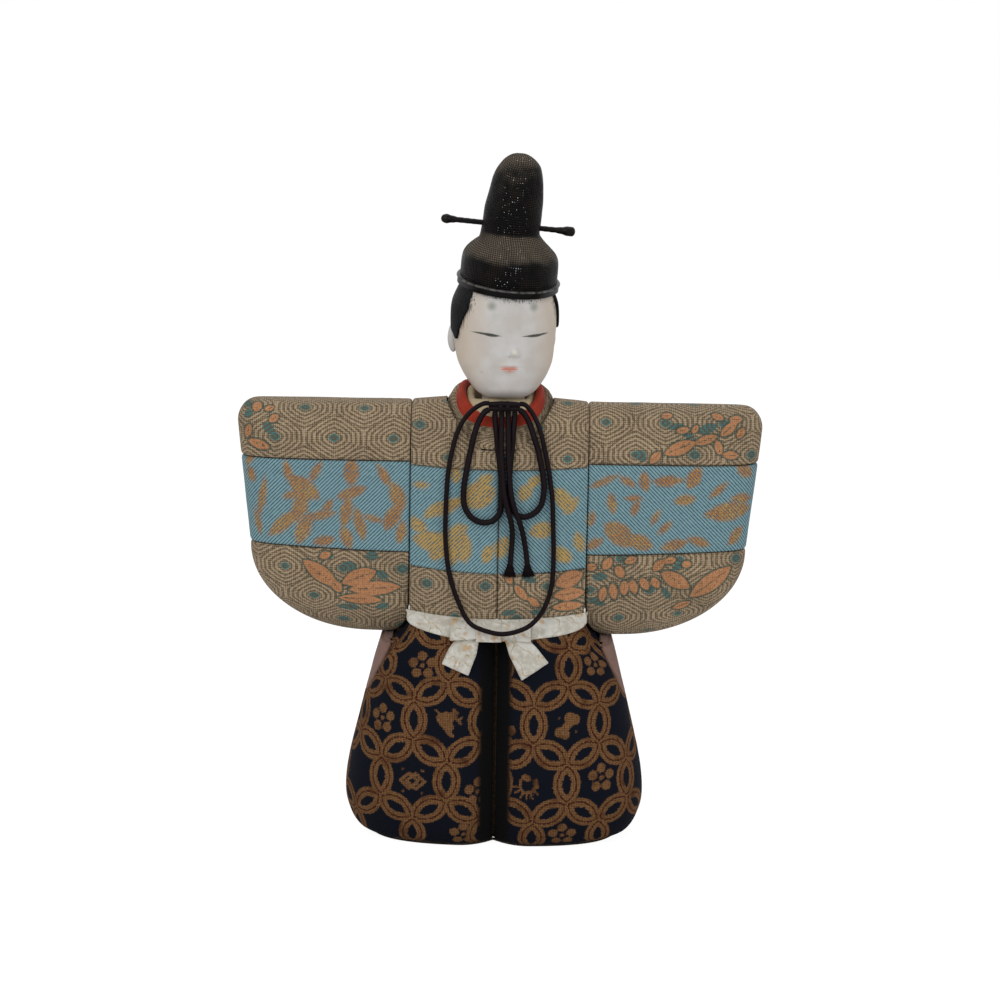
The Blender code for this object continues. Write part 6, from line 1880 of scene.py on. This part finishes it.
def hair_mesh():
    """A shell over the sides and back: outside up, over the top edge and down inside."""
    def point(row, column, lift):
        edge = HAIR_EDGE_LEFT if column > 0.0 else HAIR_EDGE_RIGHT
        degrees = 180.0 + column * (180.0 - edge[0][0])
        low = along(edge, min(degrees, 360.0 - degrees))
        x, y, z = head_point(math.radians(degrees), mix(low, HAIR_TOP, row))
        away = math.hypot(x, y)
        comb = COMB_DEPTH * math.cos(COMB_LINES * math.radians(degrees) / 2.0)
        reach = 1.0 + (lift + (comb if lift > COMB_START else 0.0)) / max(away, 1e-4)
        return (x * reach, y * reach, z)

    thick = [HAIR_EDGE_THICK, HAIR_THICK * 0.6, HAIR_THICK * 0.9, HAIR_THICK]
    columns = np.linspace(-1.0, 1.0, 361)
    rows = np.linspace(0.0, 1.0, 50)
    profile = [(0.0, lift) for lift in thick[:-1]] + [(row, HAIR_THICK) for row in rows]
    profile += [(1.0, lift) for lift in reversed(thick[:-1])]
    grid = []
    for row, lift in profile:
        line = []
        for column in columns:
            ease = min((1.0 - abs(column)) / 0.012, 1.0)
            eased = HAIR_EDGE_THICK + (lift - HAIR_EDGE_THICK) * math.sqrt(1.0 - (1.0 - ease) ** 2)
            line.append(point(row, column, eased))
        grid.append(line)
    return shaped_grid("hair_shell", turned_head(np.array(grid)))


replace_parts(finish_piece("hair_shell", hair_mesh(), hair_shade(), "hair_black", "head"), "hair")

# Hat
# A stiff cap with a tall crown of black lacquered mesh, pressed in one piece over a
# mould; a lacquered rim is sewn round its edge and a black pin passes through.
HAT_X = 0.0019
HAT_Y = 0.001
HAT_RIM_HEIGHT = 0.2018
HAT_ROLL = math.radians(5.0)
HAT_PITCH = math.radians(8.0)
CAP_HEIGHT = 0.0165
CAP_HALF_WIDTH = 0.0174
CAP_FRONT = 0.0192
CAP_BACK = 0.0202
CAP_SHARES = ((0.0, 1.0), (0.3, 1.0), (0.55, 0.985), (0.68, 0.94), (0.8, 0.84), (0.9, 0.73), (1.0, 0.64))
CROWN_HALF_WIDTH = 0.0107
CROWN_DEPTH = 0.0102
CROWN_HEIGHT = 0.0292
CROWN_BEND_SHARE = 0.4
HAT_CROWN_SHIFT = -0.0011
HAT_CROWN_BACK = 0.002
CROWN_SHARES = (
    (0.0, 1.0), (0.07, 0.985), (0.16, 0.98), (0.3, 0.985), (0.44, 0.98), (0.57, 0.945),
    (0.7, 0.87), (0.82, 0.73), (0.92, 0.53), (0.98, 0.3), (1.0, 0.12),
)
PIN_RADIUS = 0.00125
PIN_HALF_LENGTH = 0.0240
PIN_HEIGHT = 0.0036
PIN_SHIFT = -0.001
PIN_SHARES = (
    (-1.0, 0.3), (-0.985, 0.9), (-0.95, 1.25), (-0.9, 1.3), (-0.84, 1.05), (-0.74, 0.8),
    (0.7, 0.8), (0.8, 1.05), (0.88, 1.35), (0.94, 1.4), (0.985, 1.0), (1.0, 0.3),
)
MESH_RELIEF = 0.00022
LACQUER_RELIEF = 0.0001
MESH_PITCH = 0.85
LACQUER = srgb(9, 9, 9)
LACQUER_WARM = srgb(34, 26, 21)
# Paler where the mesh faces up: partly real dust, partly painted sheen.
LACQUER_DUST_AND_SHEEN = srgb(124, 112, 98)
LACQUER_GREY = srgb(104, 102, 99)


def hat_frame():
    """The cap's own frame: its origin at the centre of the rim, its z along the cap's axis."""
    turn = Matrix.Rotation(HAT_ROLL, 4, "Y") @ Matrix.Rotation(HAT_PITCH, 4, "X")
    return Matrix.Translation((HAT_X, HAT_Y, HAT_RIM_HEIGHT)) @ turn


def crown_frame(share):
    """The crown seats flat on the cap and bends back upright as it rises."""
    bend = -HAT_PITCH * min(share / CROWN_BEND_SHARE, 1.0)
    seat = Matrix.Translation((HAT_CROWN_SHIFT, HAT_CROWN_BACK, CAP_HEIGHT + CLEARANCE))
    return hat_frame() @ seat @ Matrix.Rotation(bend, 4, "X")


def oval(place, width, front, back, height, turns):
    """A ring of points that starts behind and runs round by the left."""
    ring = []
    for turn in turns:
        reach = back if math.cos(turn) > 0.0 else front
        ring.append(place @ Vector((-width * math.sin(turn), reach * math.cos(turn), height)))
    return ring


def cap_ring(height, inset, turns):
    size = along(CAP_SHARES, height / CAP_HEIGHT)
    reaches = (reach * size - inset for reach in (CAP_HALF_WIDTH, CAP_FRONT, CAP_BACK))
    return oval(hat_frame(), *reaches, height, turns)


def smoothed(rings, count):
    """Rings on a smooth curve through the given ones, evenly spaced up the front."""
    rings = np.array(rings, dtype=float)
    middle = rings.shape[1] // 4
    legs = np.linalg.norm(np.diff(rings[:, middle], axis=0), axis=1)
    reach = np.concatenate(([0.0], np.cumsum(legs)))
    slopes = np.gradient(rings, reach, axis=0)
    smooth = []
    for place in np.linspace(0.0, reach[-1], count):
        spot = min(max(int(np.searchsorted(reach, place)) - 1, 0), len(rings) - 2)
        run = reach[spot + 1] - reach[spot]
        t = (place - reach[spot]) / run
        level = rings[spot] * (2 * t**3 - 3 * t**2 + 1) + rings[spot + 1] * (3 * t**2 - 2 * t**3)
        bend = slopes[spot] * (t**3 - 2 * t**2 + t) + slopes[spot + 1] * (t**3 - t**2)
        smooth.append(level + run * bend)
    return np.array(smooth)


def mesh_shade():
    """Black lacquered mesh: dust and painted sheen where it faces up, with small painted glints in front."""
    shade, tree, shader = new_shade("lacquered_mesh", 0.42, 0.0, 0.05)
    across, up = place_effect(tree, CLOTH_PLACE)
    weave = place_effect(tree, WEAVE, across, up, MESH_PITCH)[0]
    dust = place_effect(tree, FLECKS, 4.0, 3.0)[0]
    fine = place_effect(tree, FLECKS, 0.7, 1.0)[0]
    way = tree.nodes.new("ShaderNodeNewGeometry")
    parts = tree.nodes.new("ShaderNodeSeparateXYZ")
    tree.links.new(way.outputs["Normal"], parts.inputs[0])
    # Faces turned up: partly real dust, partly painted sheen of the light from above.
    lies = step(Wire(tree, parts.outputs["Z"]) + dust * 0.5 - 0.25, 0.2, 0.75)
    crowns = step(weave, 0.25, 0.75)
    # Dust and painted sheen, strongest on the crowns of the mesh.
    worn = lies * (crowns * 0.7 + 0.2)
    warm = crowns * step(dust, 0.42, 0.62)
    colour = tint(warm, LACQUER, LACQUER_WARM)
    colour = tint(worn * 0.8, colour, LACQUER_DUST_AND_SHEEN)
    # Painted glints: small bright spots on the mesh crowns near the front middle.
    spots = step(weave, 0.8, 0.95) * step(fine, 0.62, 0.68)
    spots = spots * step(abs(across), 8.0, 1.0)
    tint(spots, colour, srgb(214, 216, 222)).into(shader.inputs["Base Color"])
    (lies * 0.35 + 0.3).into(shader.inputs["Roughness"])
    bump(shader, weave, MESH_RELIEF, 0.9)
    return shade


def lacquer_shade(name, light, dark):
    """Smooth lacquer, worn pale along its raised places."""
    shade, tree, shader = new_shade(name, 0.3, 0.0, 0.1)
    soil = place_effect(tree, FLECKS, 1.8, 3.0)[0]
    raised = attribute(tree, "raised") * step(soil, 0.3, 0.6)
    tint(raised, dark, light).into(shader.inputs["Base Color"])
    bump(shader, soil, LACQUER_RELIEF, 0.4)
    return shade


CAP_RING_SHARES = (0.0, 0.12, 0.25, 0.38, 0.5, 0.6, 0.7, 0.78, 0.85, 0.91)
CROWN_RING_SHARES = (0.06, 0.12, 0.2, 0.3, 0.44, 0.57, 0.7, 0.79, 0.86, 0.92, 0.96, 0.985, 1.0)
CROWN_LEAN = 0.0012
CROWN_PINCH = 0.0014
CROWN_START_ROW = 58
HAT_RIPPLE = 0.0003
HAT_RIPPLE_WIDTH = 1.0 / 140.0
HAT_ROWS = 140
RIM_ROWS = (
    (0.0004, -0.0010, 0.0), (-0.0004, -0.0011, 0.0), (-0.0008, -0.0009, 0.0), (-0.0008, 0.0009, 0.0),
    (-0.0010, 0.0011, 0.5), (-0.0012, 0.0013, 1.0), (-0.0012, 0.0015, 1.0), (-0.0010, 0.0017, 0.4),
    (-0.0005, 0.0020, 0.0), (0.0002, 0.0019, 0.0),
)


def shape_hat():
    turns = np.linspace(0.0, 2.0 * math.pi, 201)
    rings = [cap_ring(CAP_HEIGHT * share, 0.0, turns) for share in CAP_RING_SHARES]
    crown = []
    for share in CROWN_RING_SHARES:
        size = along(CROWN_SHARES, share)
        ring = oval(
            crown_frame(share), CROWN_HALF_WIDTH * size, CROWN_DEPTH * size, CROWN_DEPTH * size,
            CROWN_HEIGHT * share, turns,
        )
        lean = min(max((share - 0.45) / 0.4, 0.0), 1.0) ** 2
        narrow = math.exp(-((share - 0.62) / 0.3) ** 2)
        centre = sum(ring[:-1], Vector()) / (len(ring) - 1)
        for point in ring:
            out = (point.x - centre.x) / CROWN_HALF_WIDTH
            point.x += lean * CROWN_LEAN * (1.0 if out > 0.0 else 0.5)
            point.x -= narrow * CROWN_PINCH * min(out, 0.0)
        crown.append(ring)
    shade = mesh_shade()
    points = smoothed(rings + crown, HAT_ROWS)
    closing = np.broadcast_to(points[-1].mean(axis=0), points[-1:].shape)
    points = np.concatenate((points, (points[-1:] + closing) / 2.0, closing))
    over, up = arc_lengths(points, 1), arc_lengths(points, 0)
    half = over.shape[1] // 2
    places = np.stack((over - over[:, half:half + 1], up), axis=2)
    outward = points - points.mean(axis=1, keepdims=True)
    outward /= np.maximum(np.linalg.norm(outward, axis=2)[..., None], 1e-6)
    ripple = np.array([[noise.noise(Vector(point) / HAT_RIPPLE_WIDTH) for point in line] for line in points])
    points = points + outward * ripple[..., None] * HAT_RIPPLE
    shoulder, tall = slice(0, CROWN_START_ROW + 1), slice(CROWN_START_ROW, None)
    for name, node, part in (("hat_shoulder", "hat_cap", shoulder), ("hat_tall_crown", "hat_crown", tall)):
        mesh = shaped_grid(name, points[part], places[part])
        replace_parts(finish_piece(name, mesh, shade, "hat_lacquer", "cap"), node)

    rings = [cap_ring(height, inset, turns) for inset, height, _ in RIM_ROWS]
    points = np.array([[tuple(point) for point in ring] for ring in rings])
    raised = np.array([[level] * len(turns) for _, _, level in RIM_ROWS])
    mesh = shaped_grid("hat_edge", points, values={"raised": raised})
    shade = lacquer_shade("rim_lacquer", LACQUER_GREY, LACQUER)
    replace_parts(finish_piece("hat_edge", mesh, shade, "hat_lacquer", "cap"), "hat_rim")

    place = crown_frame(PIN_HEIGHT / CROWN_HEIGHT) @ Matrix.Translation((PIN_SHIFT, 0.0, PIN_HEIGHT))
    place = place @ Matrix.Rotation(math.pi / 2.0, 4, "Y")
    turns = np.linspace(0.0, 2.0 * math.pi, 33)
    rings = []
    level = []
    stops = (np.linspace(-1.0, -0.75, 24), np.linspace(-0.7, 0.7, 30), np.linspace(0.75, 1.0, 24))
    for share in np.concatenate(stops):
        radius = PIN_RADIUS * along(PIN_SHARES, share) * (1.0 + 0.04 * math.sin(60.0 * share))
        ring = oval(place, radius, radius, radius, PIN_HALF_LENGTH * share, turns)
        rings.append([tuple(point) for point in ring])
        level.append([0.6 if abs(share) > 0.9 else 0.2] * len(turns))
    mesh = shaped_grid("pin_of_hat", np.array(rings), values={"raised": np.array(level)}, closed=True)
    shade = lacquer_shade("pin_lacquer", LACQUER_WARM, LACQUER)
    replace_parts(finish_piece("pin_of_hat", mesh, shade, "hat_lacquer", "cap"), "hat_pin")


shape_hat()

# Hidden forms
# Bare wooden dowels show only where the doll is taken apart. The pressed paste cores show there
# and in narrow slits between the panels; their dull dark brown is partly the paste's own
# colour, partly painted shade.
# Paste colours, kept dark partly as painted shade in the slits where the cores show.
PASTE_DARK = srgb(52, 40, 30)
PASTE_LIGHT = srgb(84, 66, 48)
DOWEL_DARK = srgb(150, 118, 78)
DOWEL_LIGHT = srgb(188, 154, 108)
GRAIN_ACROSS = 1200.0
GRAIN_RELIEF = 0.0002


def solid_shade(name, dark, light, stretch_share, roughness):
    """Pressed paste or wood: grains that run up the piece."""
    shade, tree, shader = new_shade(name, roughness)
    grain = place_effect(tree, STRANDS, GRAIN_ACROSS, GRAIN_ACROSS * stretch_share, 4.0)[0]
    tint(step(grain, 0.3, 0.7), dark, light).into(shader.inputs["Base Color"])
    bump(shader, grain, GRAIN_RELIEF, 0.6)
    return shade


SHADED_PASTE = solid_shade("paste_with_painted_shade", PASTE_DARK, PASTE_LIGHT, 1.0, 0.95)
BARE_WOOD = solid_shade("bare_wood", DOWEL_DARK, DOWEL_LIGHT, 0.08, 0.7)
for node in ("torso_core", "sleeve_core_left", "sleeve_core_right", "trouser_core"):
    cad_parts[node].data.materials.clear()
    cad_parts[node].data.materials.append(SHADED_PASTE)
for node in ("waist_dowel", "sleeve_dowel_left", "sleeve_dowel_right", "neck_peg"):
    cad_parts[node].data.materials.clear()
    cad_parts[node].data.materials.append(BARE_WOOD)
